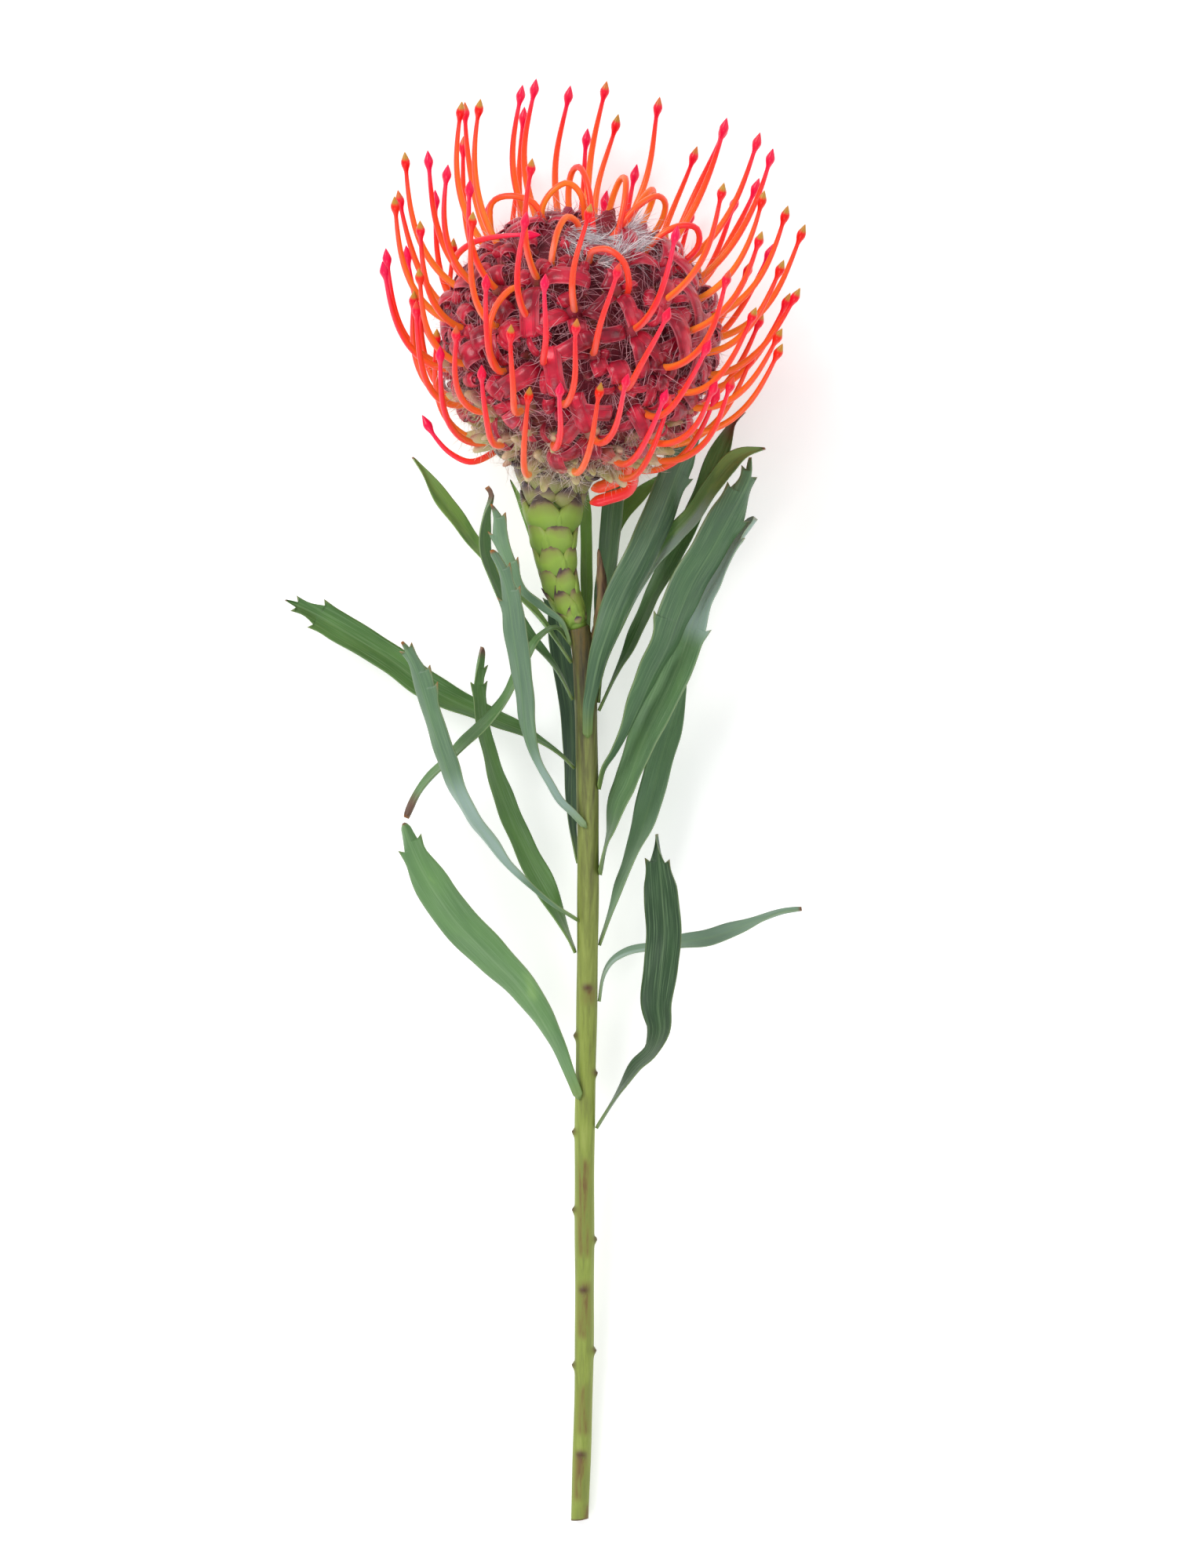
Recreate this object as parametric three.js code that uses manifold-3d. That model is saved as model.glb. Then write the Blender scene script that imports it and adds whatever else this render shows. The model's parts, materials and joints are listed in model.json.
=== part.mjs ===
// A pincushion protea, cut: one flower head on a scaly stalk, and a leafy stem, lying on a surface.
// Millimetres. +Y runs from the cut end to the flower, and +Z is up from the surface at z = 0.
import * as THREE from "three";
import { ConvexGeometry } from "three/addons/geometries/ConvexGeometry.js";
import { mergeVertices } from "three/addons/utils/BufferGeometryUtils.js";
import Module from "manifold-3d";

const wasm = await Module();
wasm.setup();

// Driving dimensions
const SEAT_GAP = 0.3; // between two pieces that touch
const STEM_END_RADIUS = 2.4;
const STEM_TOP_RADIUS = 3.1;
const HEAD_CENTRE = new THREE.Vector3(9.2, 125.6, 40.5);
const HEAD_LEAN = 11; // degrees to the right of the stem
const HEAD_TILT = 28; // degrees up from the surface
const CORE_SIDE = 32; // half-width of the packed florets, under their curls
const CORE_SIDES = 16;
const CORE_STEPS = 9;
const CORE_TOP = 33; // centre to crown
const CORE_BOTTOM = 36; // centre to foot, before the foot is cut flat
const FOOT = 33; // centre to the flat foot
const FLORETS = 100;
const IN_BUD = 12; // florets round the crown whose style isn't free yet
const CROWN_ANGLE = 14; // the first floret's angle from the crown, in degrees
const SKIRT_ANGLE = 148; // the last one's
const STYLE_LENGTH = 44;
const STYLE_RADIUS = 0.85;
const STYLE_STEPS = 6;
const STYLE_POINTS = 8;
const NECK_RADIUS = 0.61; // where a style meets its swollen tip
const TIP_RADIUS = 1.35; // the swollen end of a style
const TIP_LENGTH = 5.2;
const CURL_RADIUS = 3.4;
const CURL_WIDTH = 7;
const CURL_STEPS = 4;
const CURL_THICKNESS = 1.3;
const LEAF_THICKNESS = 0.9;
const TOOTH = 1.5; // how far a leaf tooth stands out
const TOUCH = 2; // the height at which a style starts to bend away from the surface
const SEED = 41;
const BACK = 3; // the whole flower is set back this far along Y, so that its box is centred on the origin

const GOLDEN = Math.PI * (3 - Math.sqrt(5));
const UP = new THREE.Vector3(0, 0, 1);
const rad = THREE.MathUtils.degToRad;
const lerp = THREE.MathUtils.lerp;
const smooth = THREE.MathUtils.smoothstep;

// Random numbers from 0 to 1, the same on every run
let seedState = SEED;
function random() {
  seedState = (Math.imul(1664525, seedState) + 1013904223) >>> 0;
  return seedState / 2 ** 32;
}
const spread = (amount) => (2 * random() - 1) * amount;

// A solid from a closed geometry, with its faces turned outwards
function solidOf(geometry) {
  const bare = geometry.clone();
  bare.deleteAttribute("normal");
  bare.deleteAttribute("uv");
  const merged = mergeVertices(bare, 1e-5);
  const vertProperties = merged.attributes.position.array;
  const triVerts = new Uint32Array(merged.index.array);
  const solid = new wasm.Manifold(new wasm.Mesh({ numProp: 3, vertProperties, triVerts }));
  if (solid.volume() > 0) return solid;
  return new wasm.Manifold(new wasm.Mesh({ numProp: 3, vertProperties, triVerts: triVerts.reverse() }));
}

function geometryOf(solid) {
  const mesh = solid.getMesh();
  const geometry = new THREE.BufferGeometry();
  geometry.setAttribute("position", new THREE.BufferAttribute(mesh.vertProperties, 3));
  geometry.setIndex(new THREE.BufferAttribute(mesh.triVerts, 1));
  geometry.computeVertexNormals();
  return geometry;
}

const join = (solids) => wasm.Manifold.union(solids);

// A closed skin over rings of points, from a flat first ring to a flat last ring or a point
function skin(rings, point = null) {
  const count = rings[0].length;
  const positions = rings.flat().flatMap((p) => [p.x, p.y, p.z]);
  const index = [];
  for (let j = 1; j < count - 1; j++) index.push(0, j + 1, j);
  for (let k = 0; k < rings.length - 1; k++)
    for (let j = 0; j < count; j++) {
      const a = k * count + j;
      const b = k * count + ((j + 1) % count);
      index.push(a, b, b + count, a, b + count, a + count);
    }
  const last = (rings.length - 1) * count;
  if (point) {
    positions.push(point.x, point.y, point.z);
    for (let j = 0; j < count; j++) index.push(last + j, last + ((j + 1) % count), last + count);
  } else for (let j = 1; j < count - 1; j++) index.push(last, last + j, last + j + 1);
  const geometry = new THREE.BufferGeometry();
  geometry.setAttribute("position", new THREE.Float32BufferAttribute(positions, 3));
  geometry.setIndex(index);
  return geometry;
}

// A ring of points round a centre, in the plane of side and front
function ring(centre, side, front, radius, sides, turn = 0) {
  return Array.from({ length: sides }, (_, j) => {
    const angle = turn + (2 * Math.PI * j) / sides;
    return centre
      .clone()
      .addScaledVector(side, radius * Math.cos(angle))
      .addScaledVector(front, radius * Math.sin(angle));
  });
}

// Side and front directions square to a tangent, with side kept level
function levelFrame(tangent) {
  const side = new THREE.Vector3().crossVectors(tangent, UP).normalize();
  return { side, front: new THREE.Vector3().crossVectors(side, tangent) };
}

function tube(curve, radiusAt, sides, steps) {
  const rings = [];
  for (let k = 0; k <= steps; k++) {
    const t = k / steps;
    const { side, front } = levelFrame(curve.getTangentAt(t));
    rings.push(ring(curve.getPointAt(t), side, front, radiusAt(t), sides, Math.PI / 2));
  }
  return skin(rings.map((points) => points.reverse()));
}

const curveThrough = (points) =>
  new THREE.CatmullRomCurve3(
    points.map((p) => new THREE.Vector3(...p)),
    false,
    "centripetal",
  );

// Stem: the cut end rests on the surface, and the other end lies where the flower holds it
const stemCurve = curveThrough([
  [9.6, -190, STEM_END_RADIUS + 0.02],
  [10.7, -149, 6.2],
  [11, -86, 11.8],
  [11.5, -54.6, 14.6],
  [11.8, -12.6, 18.4],
  [11.4, 20, 21.4],
  [11, 38, 22.8],
  [10.4, 45.5, 23.5],
  [9.1, 50.4, 24],
]);
const stemRadius = (t) => lerp(STEM_END_RADIUS, STEM_TOP_RADIUS, t);

// The stem's axis at a height y, with the directions across it
function stemAt(y) {
  const start = stemCurve.points[0].y;
  const t = (y - start) / (stemCurve.points.at(-1).y - start);
  return { centre: stemCurve.getPointAt(t), radius: stemRadius(t), ...levelFrame(stemCurve.getTangentAt(t)) };
}

// The direction out of the stem on a side given in degrees: 0 right, 90 top, 180 left, 270 underneath
function outOfStem({ side, front }, degrees) {
  return side
    .clone()
    .multiplyScalar(Math.cos(rad(degrees)))
    .addScaledVector(front, Math.sin(rad(degrees)));
}

// Scars of shed leaves, as [y, side in degrees]
const LEAF_SCARS = [
  [-46, 88],
  [-59, 170],
  [-69, 30],
  [-85, 172],
  [-106, 172],
  [-114, 5],
  [-127.5, 95],
  [-144, 8],
  [-148, 176],
  [-172, 95],
];

const SCAR_RADIUS = 1.5;
const SCAR_HEIGHT = 1.3;

function leafScar([y, degrees]) {
  const place = stemAt(y);
  const out = outOfStem(place, degrees);
  const along = new THREE.Vector3().crossVectors(place.front, place.side);
  const across = new THREE.Vector3().crossVectors(along, out);
  const foot = place.centre.clone().addScaledVector(out, place.radius * 0.8);
  const points = ring(foot, across, along, SCAR_RADIUS, 5);
  points.push(foot.clone().addScaledVector(out, SCAR_HEIGHT).addScaledVector(along, SCAR_RADIUS / 2));
  points.push(foot.clone().addScaledVector(out, SCAR_HEIGHT).addScaledVector(along, -SCAR_RADIUS / 3));
  return new ConvexGeometry(points);
}

// The stem's own tip, which the flower stalk has grown past
const shootTip = curveThrough([
  [12.7, 43, 23],
  [15.2, 51, 23.4],
  [15.6, 61, 24.3],
  [14.6, 71.5, 25.2],
]);

function stem() {
  const scars = LEAF_SCARS.map((scar) => solidOf(leafScar(scar)));
  const main = solidOf(tube(stemCurve, stemRadius, 10, 24));
  const tip = solidOf(tube(shootTip, (t) => 1.5 * (1 - t) ** 0.6 + 0.3, 6, 6));
  return join([main, tip, ...scars]);
}

// Flower stalk
const headAxis = new THREE.Vector3(
  Math.sin(rad(HEAD_LEAN)) * Math.cos(rad(HEAD_TILT)),
  Math.cos(rad(HEAD_LEAN)) * Math.cos(rad(HEAD_TILT)),
  Math.sin(rad(HEAD_TILT)),
);
// Round the axis, azimuth 0 is the head's right, 90 its upper face and 270 its underside
const headRight = new THREE.Vector3().crossVectors(headAxis, UP).normalize();
const headFront = new THREE.Vector3().crossVectors(headRight, headAxis);
const footCentre = HEAD_CENTRE.clone().addScaledVector(headAxis, -FOOT);

const stalkCurve = curveThrough([
  [8.85, 51.05, 24],
  [7.4, 54, 24.1],
  [4.8, 59.5, 24.2],
  [3.3, 66, 24.2],
  [2.6, 74, 24.2],
  [2.3, 81, 24.2],
  [2.4, 87.5, 24.4],
  footCentre.clone().addScaledVector(headAxis, -SEAT_GAP).toArray(),
]);
const STALK_RADII = [3, 3.5, 4.2, 4.9, 5.6, 6.8, 8.8, 12.2]; // from the stem to the head

function stalkRadius(t) {
  const place = t * (STALK_RADII.length - 1);
  const k = Math.min(Math.floor(place), STALK_RADII.length - 2);
  return lerp(STALK_RADII[k], STALK_RADII[k + 1], place - k);
}

// Rows of pointed scales from the stem to the head's foot. Each row is a zigzag ring of tips that stand proud,
// with the ring that the next row grows from just above it.
const SCALE_ROWS = 8;
const SCALES_ROUND = 6;

function flowerStalk() {
  const ringAt = (t, row, tipUp, tipOut, valleyOut) =>
    Array.from({ length: 2 * SCALES_ROUND }, (_, j) => {
      const isTip = (j + row) % 2 === 0;
      const at = THREE.MathUtils.clamp(t + (isTip ? tipUp : -tipUp), 0, 1);
      const { side, front } = levelFrame(stalkCurve.getTangentAt(at));
      const angle = (Math.PI * j) / SCALES_ROUND;
      const radius = stalkRadius(at) + (isTip ? tipOut : valleyOut);
      return stalkCurve
        .getPointAt(at)
        .addScaledVector(side, radius * Math.cos(angle))
        .addScaledVector(front, radius * Math.sin(angle));
    });
  const rings = [ringAt(0, 0, 0, 0, 0)];
  for (let row = 0; row < SCALE_ROWS; row++) {
    const t = 0.1 + (0.8 * row) / (SCALE_ROWS - 1);
    const grow = row / (SCALE_ROWS - 1);
    rings.push(ringAt(t, row, 0.03, lerp(0.7, 1.7, grow), 0.1));
    rings.push(ringAt(t + 0.012, row, 0.03, -0.25, -0.25));
  }
  rings.push(ringAt(1, 0, 0, 0, 0));
  return solidOf(skin(rings)).subtract(solidOf(core(SEAT_GAP)));
}

// Flower head: a core of packed floret tubes, which the curls and styles stand out of

// A point of the core at an angle from the crown, in degrees, and its outward direction
function corePoint(polar, azimuth, grow = 0) {
  const p = rad(polar);
  const height = (Math.cos(p) > 0 ? CORE_TOP : CORE_BOTTOM) + grow;
  const width = CORE_SIDE + grow;
  const around = headRight.clone().multiplyScalar(Math.cos(azimuth)).addScaledVector(headFront, Math.sin(azimuth));
  const place = HEAD_CENTRE.clone()
    .addScaledVector(around, width * Math.sin(p))
    .addScaledVector(headAxis, height * Math.cos(p));
  const normal = around
    .clone()
    .multiplyScalar(Math.sin(p) / width)
    .addScaledVector(headAxis, Math.cos(p) / height)
    .normalize();
  return { place, normal, around };
}

function core(grow) {
  const footAngle = THREE.MathUtils.radToDeg(Math.acos(-(FOOT + grow) / (CORE_BOTTOM + grow)));
  const rings = [];
  for (let k = 0; k < CORE_STEPS; k++) {
    const polar = lerp(footAngle, 0, k / CORE_STEPS);
    const angles = Array.from({ length: CORE_SIDES }, (_, j) => (2 * Math.PI * j) / CORE_SIDES);
    rings.push(angles.map((angle) => corePoint(polar, angle, grow).place));
  }
  return skin(rings, corePoint(0, 0, grow).place);
}

// Florets, spaced by the golden angle from crown to foot
function florets() {
  const top = Math.cos(rad(CROWN_ANGLE));
  const foot = Math.cos(rad(SKIRT_ANGLE));
  return Array.from({ length: FLORETS }, (_, i) => {
    const polar = THREE.MathUtils.radToDeg(Math.acos(lerp(top, foot, i / (FLORETS - 1))));
    return {
      index: i,
      polar: polar + spread(2),
      azimuth: i * GOLDEN + spread(0.07),
      curlTurn: spread(1.1),
      curlSize: 1 + spread(0.18),
      length: STYLE_LENGTH * (1 + spread(0.07)),
      lean: spread(5),
      sway: spread(0.16),
    };
  });
}

// The curled-back perianth of a floret: a ribbon rolled over towards one side
function curl({ polar, azimuth, curlTurn, curlSize }) {
  const { place, normal } = corePoint(polar, azimuth);
  const level = new THREE.Vector3().crossVectors(headAxis, normal).normalize();
  const roll = level.applyAxisAngle(normal, curlTurn);
  const across = new THREE.Vector3().crossVectors(normal, roll);
  const radius = CURL_RADIUS * curlSize;
  const half = (CURL_WIDTH * curlSize) / 2;
  const centre = place.clone().addScaledVector(normal, 1.4).addScaledVector(roll, radius + STYLE_RADIUS + 0.3);
  const rings = [];
  for (let k = 0; k <= CURL_STEPS; k++) {
    const angle = rad(lerp(-70, 200, k / CURL_STEPS));
    const outward = roll
      .clone()
      .multiplyScalar(-Math.cos(angle))
      .addScaledVector(normal, Math.sin(angle));
    const reach = radius * lerp(1.12, 0.85, k / CURL_STEPS);
    const outer = centre.clone().addScaledVector(outward, reach);
    rings.push([
      outer.clone().addScaledVector(across, half),
      outer.clone().addScaledVector(across, -half),
      centre.clone().addScaledVector(outward, reach - CURL_THICKNESS),
    ]);
  }
  return skin(rings);
}

// Bends a style away from the surface that the head lies on
function liftOff(point) {
  const lowest = STYLE_RADIUS * 0.35;
  if (point.z < lowest + TOUCH) point.z = lowest + TOUCH * Math.exp((point.z - lowest) / TOUCH - 1);
  return point;
}

// The line of a style: it leaves square to the core and bends up towards the head's axis
function styleLine({ polar, azimuth, length, lean, sway }) {
  const { place, normal, around } = corePoint(polar, azimuth);
  const startAngle = Math.min(THREE.MathUtils.radToDeg(normal.angleTo(headAxis)), 106);
  const flare = lerp(3, 15, smooth(polar, 50, 90));
  const endAngle = lerp(flare, 8, smooth(polar, 105, 140)) + lean;
  const bend = lerp(1.8, 2.6, smooth(polar, 50, 100));
  const beside = new THREE.Vector3().crossVectors(headAxis, around);
  const points = [place.clone().addScaledVector(normal, -1.5)];
  const point = place.clone();
  points.push(point.clone());
  const substeps = 40;
  for (let k = 1; k <= substeps; k++) {
    const t = (k - 0.5) / substeps;
    const angle = rad(lerp(endAngle, startAngle, (1 - t) ** bend));
    point
      .addScaledVector(around, (Math.sin(angle) * length) / substeps)
      .addScaledVector(headAxis, (Math.cos(angle) * length) / substeps)
      .addScaledVector(beside, (Math.sin(2 * Math.PI * t) * sway * length) / substeps);
    if (k % (substeps / STYLE_POINTS) === 0) points.push(liftOff(point.clone()));
  }
  return { points, beside };
}

// A three-sided rod along a line, with its sections turned to one direction across it
function rod(curve, across, stations, point = null) {
  const rings = stations.map(([t, radius]) => {
    const tangent = curve.getTangentAt(t);
    const front = new THREE.Vector3().crossVectors(tangent, across).normalize();
    const side = new THREE.Vector3().crossVectors(front, tangent);
    const points = ring(curve.getPointAt(t), side, front, radius, 3, Math.PI / 2);
    for (const corner of points) corner.z = Math.max(corner.z, 0);
    return points.reverse();
  });
  return skin(rings, point);
}

// A style with its swollen tip
function openStyle(line, across) {
  const curve = new THREE.CatmullRomCurve3(line, false, "centripetal");
  const length = curve.getLength();
  const neck = 1 - TIP_LENGTH / length;
  const stations = Array.from({ length: STYLE_STEPS }, (_, k) => {
    const along = k / (STYLE_STEPS - 1);
    return [neck * along, lerp(STYLE_RADIUS, NECK_RADIUS, along)];
  });
  stations.push([1 - (0.62 * TIP_LENGTH) / length, TIP_RADIUS]);
  return rod(curve, across, stations, curve.getPointAt(1));
}

// Styles that have sprung free but lie out of order: across the face, down at the left and folded at the foot
const STRAYS = [
  [[-17, 139, 49], [-23.5, 146.5, 52.5], [-19, 151.3, 59], [-10, 153, 65.5], [-0.6, 153.1, 68.5]],
  [[-9, 101, 35], [-14, 96.4, 37], [-19.5, 94.3, 38.5], [-24.8, 96.6, 39], [-28.8, 100.8, 39.5], [-32.3, 106.7, 40]],
  [[20, 97, 38], [24, 91.5, 38.5], [22.5, 86.8, 38], [17, 84.6, 37], [12.4, 83.4, 36]],
];

// Styles whose tip is still held, as arches from the core and back to it
const ARCHES = [
  [[-12.5, 149, 45], [-14.1, 157, 48], [-13.7, 162.5, 50], [-9.9, 164.3, 52], [-2.7, 162.5, 53], [1.5, 154, 50]],
  [[-0.5, 154, 49], [0, 162, 53], [3.4, 166.3, 54.5], [6.5, 167.6, 54.5], [9.7, 165, 54], [11.5, 155, 50]],
  [[26, 148, 54], [31, 153.5, 59], [36, 156, 59], [40.5, 155.5, 56], [41, 151, 52.5], [34, 144, 51]],
  [[2.2, 144, 65], [2.5, 148, 72.5], [4.2, 154.8, 70], [6.5, 158, 66], [9, 156.5, 63], [9.5, 151.5, 58]],
  [[12, 146, 65], [13.3, 148.7, 72.5], [17.4, 148.7, 76], [21.2, 145.5, 76], [22.6, 140, 74], [21.5, 136, 66]],
  [[-5.5, 139, 65], [-8.5, 138.5, 73], [-12, 134.5, 75.5], [-14, 129, 76], [-14, 122.5, 74], [-11.5, 117, 66]],
];

function vectors(points) {
  return points.map((p) => new THREE.Vector3(...p));
}

// The direction square to the plane that a line of points bends in
function acrossOf(line) {
  const first = line[0];
  const along = line.at(-1).clone().sub(first);
  return along.cross(line[2].clone().sub(first)).normalize();
}

function strayStyle(points) {
  const line = vectors(points);
  return openStyle(line, acrossOf(line));
}

function archedStyle(points) {
  const line = vectors(points);
  const curve = new THREE.CatmullRomCurve3(line, false, "centripetal");
  const stations = Array.from({ length: 9 }, (_, k) => [k / 8, STYLE_RADIUS * 0.85]);
  return rod(curve, acrossOf(line), stations);
}

// An arch at the back of the crown, made by rule
function crownArch({ polar, azimuth, curlTurn, curlSize }) {
  const { place, normal } = corePoint(polar, azimuth);
  const across = new THREE.Vector3()
    .crossVectors(headAxis, normal)
    .normalize()
    .applyAxisAngle(normal, Math.PI / 2 + curlTurn / 3);
  const at = (sideways, height) =>
    place
      .clone()
      .addScaledVector(across, sideways * curlSize)
      .addScaledVector(normal, height * curlSize);
  const points = [at(0, -3), at(1, 7), at(4, 11), at(8.5, 11.5), at(12, 7), at(13, -4)];
  return archedStyle(points.map((p) => p.toArray()));
}

function flowerHead() {
  const parts = [core(0)];
  for (const floret of florets()) {
    parts.push(curl(floret));
    if (floret.index >= IN_BUD) {
      const { points, beside } = styleLine(floret);
      parts.push(openStyle(points, beside));
    } else if (Math.sin(floret.azimuth) < -0.5) parts.push(crownArch(floret));
  }
  parts.push(...STRAYS.map(strayStyle), ...ARCHES.map(archedStyle));
  return join(parts.map(solidOf));
}

// Leaves: where each one leaves the stem, as y and a side in degrees, its half-width, its turn about its
// middle at a quarter, at two thirds and at the tip, the distances of its teeth from the tip, left and
// right, and points along its middle. A turn of 0 shows the upper face from above, and 180 the lower.
// The spans are the foot's share of the half-width, the share of the length by which the blade is full
// and from which it narrows again, and the tip's share of the half-width.
const LEAVES = [
  { name: "leaf_01", y: 41, side: 190, half: 2.7, turns: [-62, -45, -35], teeth: [[], []],
    spans: [0.3, 0.5, 0.8, 0.2],
    path: [[-0.4, 52.5, 18], [-10.9, 64.5, 16.5], [-17.2, 71.4, 16.5], [-23.5, 79.8, 17.5],
      [-29.6, 88.2, 18.8], [-32.3, 92.4, 19.6], [-35.1, 96.2, 20.5]] },
  { name: "leaf_02", y: 31, side: 180, half: 2.7, turns: [-50, -58, -75], teeth: [[], []],
    spans: [0.3, 0.5, 0.78, 0.3],
    path: [[3.4, 39.5, 20.2], [-3.1, 47.3, 20.5], [-9.4, 55.7, 22], [-13.8, 64, 23.5], [-16.1, 73.5, 25],
      [-15.3, 80.5, 26], [-13.9, 86, 26.5], [-15.2, 88, 26.8]] },
  { name: "leaf_03", y: 46.5, side: 150, half: 2.2, turns: [-115, -135, -150], teeth: [[4.2, 17], [9]],
    spans: [0.3, 0.5, 0.8, 0.25],
    path: [[4.8, 51.9, 27.5], [-0.4, 55.7, 29.5], [-5.7, 60.1, 32], [-9, 66.8, 34], [-10.7, 71.4, 35],
      [-11.8, 75.6, 36.5], [-12.4, 79.4, 37], [-13.9, 83.2, 38]] },
  { name: "leaf_04", y: -3, side: 95, half: 3.4, turns: [-128, -150, -150], teeth: [[6, 12], [15]],
    spans: [0.3, 0.68, 0.72, 0.35],
    path: [[7.8, 0.8, 24], [4.6, 3.8, 25.5], [2.1, 7.6, 27.5], [-0.8, 12.6, 30], [-3.5, 18.9, 33],
      [-4.6, 25.1, 35.5], [-5.4, 33.5, 39], [-6.6, 41.8, 42], [-7.8, 50.1, 44.5], [-8.9, 58.4, 47],
      [-10.7, 64.6, 48.3], [-13.8, 70.6, 49]] },
  { name: "leaf_05", y: 12.6, side: 190, half: 4.2, turns: [-45, -20, -15], teeth: [[3.5, 9.8], [3.5, 10.2]],
    spans: [0.3, 0.48, 0.83, 0.1],
    path: [[4.6, 16.4, 19], [-3.5, 21.6, 17], [-12.4, 25.6, 15], [-21.4, 29.6, 13.5], [-31.2, 34.6, 12],
      [-40.9, 41.8, 11.5], [-53.2, 49.4, 11.5], [-63, 55, 12], [-69.6, 58, 12.5]] },
  { name: "leaf_06", y: -28, side: 140, half: 3.2, turns: [-120, -140, -150], teeth: [[2.5, 9.5, 14], [3.1]],
    spans: [0.3, 0.6, 0.84, 0.15],
    path: [[2.3, -23.6, 21.5], [-2.1, -20, 23.5], [-9.6, -13, 27], [-16, -4.6, 31], [-19.4, 0, 33],
      [-23.7, 8.4, 35.5], [-26.1, 15.7, 38], [-29.2, 25.1, 40.5], [-31.6, 33.4, 42.5],
      [-34.3, 40.7, 43.5], [-37.6, 46.3, 44.5]] },
  { name: "leaf_07", y: -37, side: 185, half: 3.7, turns: [-30, -55, -45], teeth: [[10.3], [5.9, 10.5]],
    spans: [0.65, 0.3, 0.6, 0.3],
    path: [[5.2, -29.5, 15.5], [1.2, -21.1, 16], [-3.4, -12.7, 16.8], [-7.4, -4.2, 17.5],
      [-10.9, 4.2, 18.5], [-13.7, 12.6, 19.5], [-15.9, 21, 20.5], [-17.4, 29.4, 21.5],
      [-17.5, 37.8, 22.5], [-16.4, 45.2, 23.5]] },
  { name: "leaf_08", y: 46, side: 215, half: 3, turns: [-60, -65, -70], teeth: [[], []],
    spans: [0.3, 0.5, 0.78, 0.3],
    path: [[3.4, 50.5, 21.5], [-1.5, 47.6, 24.5], [-6, 39.7, 26.5], [-11.9, 28.9, 27], [-17.7, 22.8, 27],
      [-24, 16.6, 27], [-33.4, 6.7, 26], [-36.8, -0.6, 25]] },
  { name: "leaf_09", y: -76, side: 120, half: 5.2, turns: [-150, -165, -165], teeth: [[5.4], [7.6]],
    spans: [0.3, 0.57, 0.78, 0.25],
    path: [[7.1, -69.8, 16.5], [3.2, -60.5, 19.5], [-1.3, -52.7, 21], [-5.7, -46.4, 22.5],
      [-14.4, -37.3, 24.5], [-23.3, -28.1, 26], [-29.6, -19.2, 27.3], [-33, -13.1, 28],
      [-35.6, -7.3, 28.5], [-37.5, -1.9, 29]] },
  { name: "leaf_10", y: -13, side: 215, half: 2.9, turns: [-20, -10, 0], teeth: [[5], [8]],
    spans: [0.3, 0.5, 0.78, 0.42],
    path: [[7.6, -2.1, 13], [7.4, 8.4, 11], [7.6, 18.9, 9.5], [7, 29.4, 8.5], [5.1, 39.9, 8],
      [3.6, 50.4, 8], [2.1, 63, 8.5]] },
  { name: "leaf_11", y: 42, side: 245, half: 1.2, turns: [-10, 0, 10], teeth: [[], []],
    spans: [0.3, 0.5, 0.8, 0.2],
    path: [[6.1, 48.5, 15.5], [2.9, 57, 14], [0.4, 65.4, 13], [-2.4, 73.8, 12], [-4.5, 80.2, 11.7],
      [-6.2, 84.4, 11.5], [-9.1, 90.5, 11.5]] },
  { name: "leaf_12", y: 37, side: 292, half: 1.6, turns: [20, 10, 10], teeth: [[], []],
    spans: [0.3, 0.5, 0.8, 0.3],
    path: [[11.6, 50.4, 16.5], [11.5, 65.1, 15], [11.4, 75.6, 14], [11.3, 84, 13.5], [11.2, 90, 13]] },
  { name: "leaf_13", y: 30, side: 350, half: 3.1, turns: [50, 30, 30], teeth: [[], []],
    spans: [0.3, 0.5, 0.85, 0.4],
    path: [[15.2, 39.9, 20], [15.7, 50.4, 19], [16.4, 60.9, 18], [17.6, 71.4, 17.5], [18.5, 81.9, 17.5],
      [19.7, 88.6, 18], [20.8, 93, 18.5]] },
  { name: "leaf_14", y: 24, side: 300, half: 2.1, turns: [30, 15, 10], teeth: [[], []],
    spans: [0.3, 0.5, 0.88, 0.3],
    path: [[14.2, 38, 15], [15.8, 52.5, 11.5], [16.9, 65, 10.5], [18.1, 75.4, 9.5], [21.2, 81.3, 9],
      [24, 84.6, 9], [27.2, 87.8, 9], [31.6, 91.6, 9.2]] },
  { name: "leaf_15", y: 21, side: 85, half: 4.6, turns: [165, 155, 150], teeth: [[12.9], [9]],
    spans: [0.3, 0.56, 0.9, 0.15],
    path: [[12, 29.4, 27.5], [12.8, 33.6, 28.3], [14.5, 41.9, 29.5], [17.2, 50.3, 30], [20.4, 58.7, 30],
      [24.8, 67.1, 29.3], [28.8, 75.5, 27.5], [32.3, 84, 25], [35.5, 92.5, 21.5], [37.6, 96.8, 19.5],
      [42.1, 102.8, 17]] },
  { name: "leaf_16", y: 28, side: 5, half: 2.9, turns: [50, 25, 20], teeth: [[], []],
    spans: [0.3, 0.35, 0.84, 0.1],
    path: [[18.3, 36.1, 20.5], [22.9, 44.9, 19], [26.9, 54, 18], [31.6, 64, 17], [35.7, 71.8, 16],
      [39.9, 80.2, 15], [43.5, 88.2, 14], [46, 94.9, 13], [49.2, 101.9, 12], [51, 105.5, 12],
      [54, 108.5, 13.5]] },
  { name: "leaf_17", y: 34, side: 15, half: 2.9, turns: [74, 32, 38], teeth: [[], []],
    spans: [0.3, 0.62, 0.86, 0.2],
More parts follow.
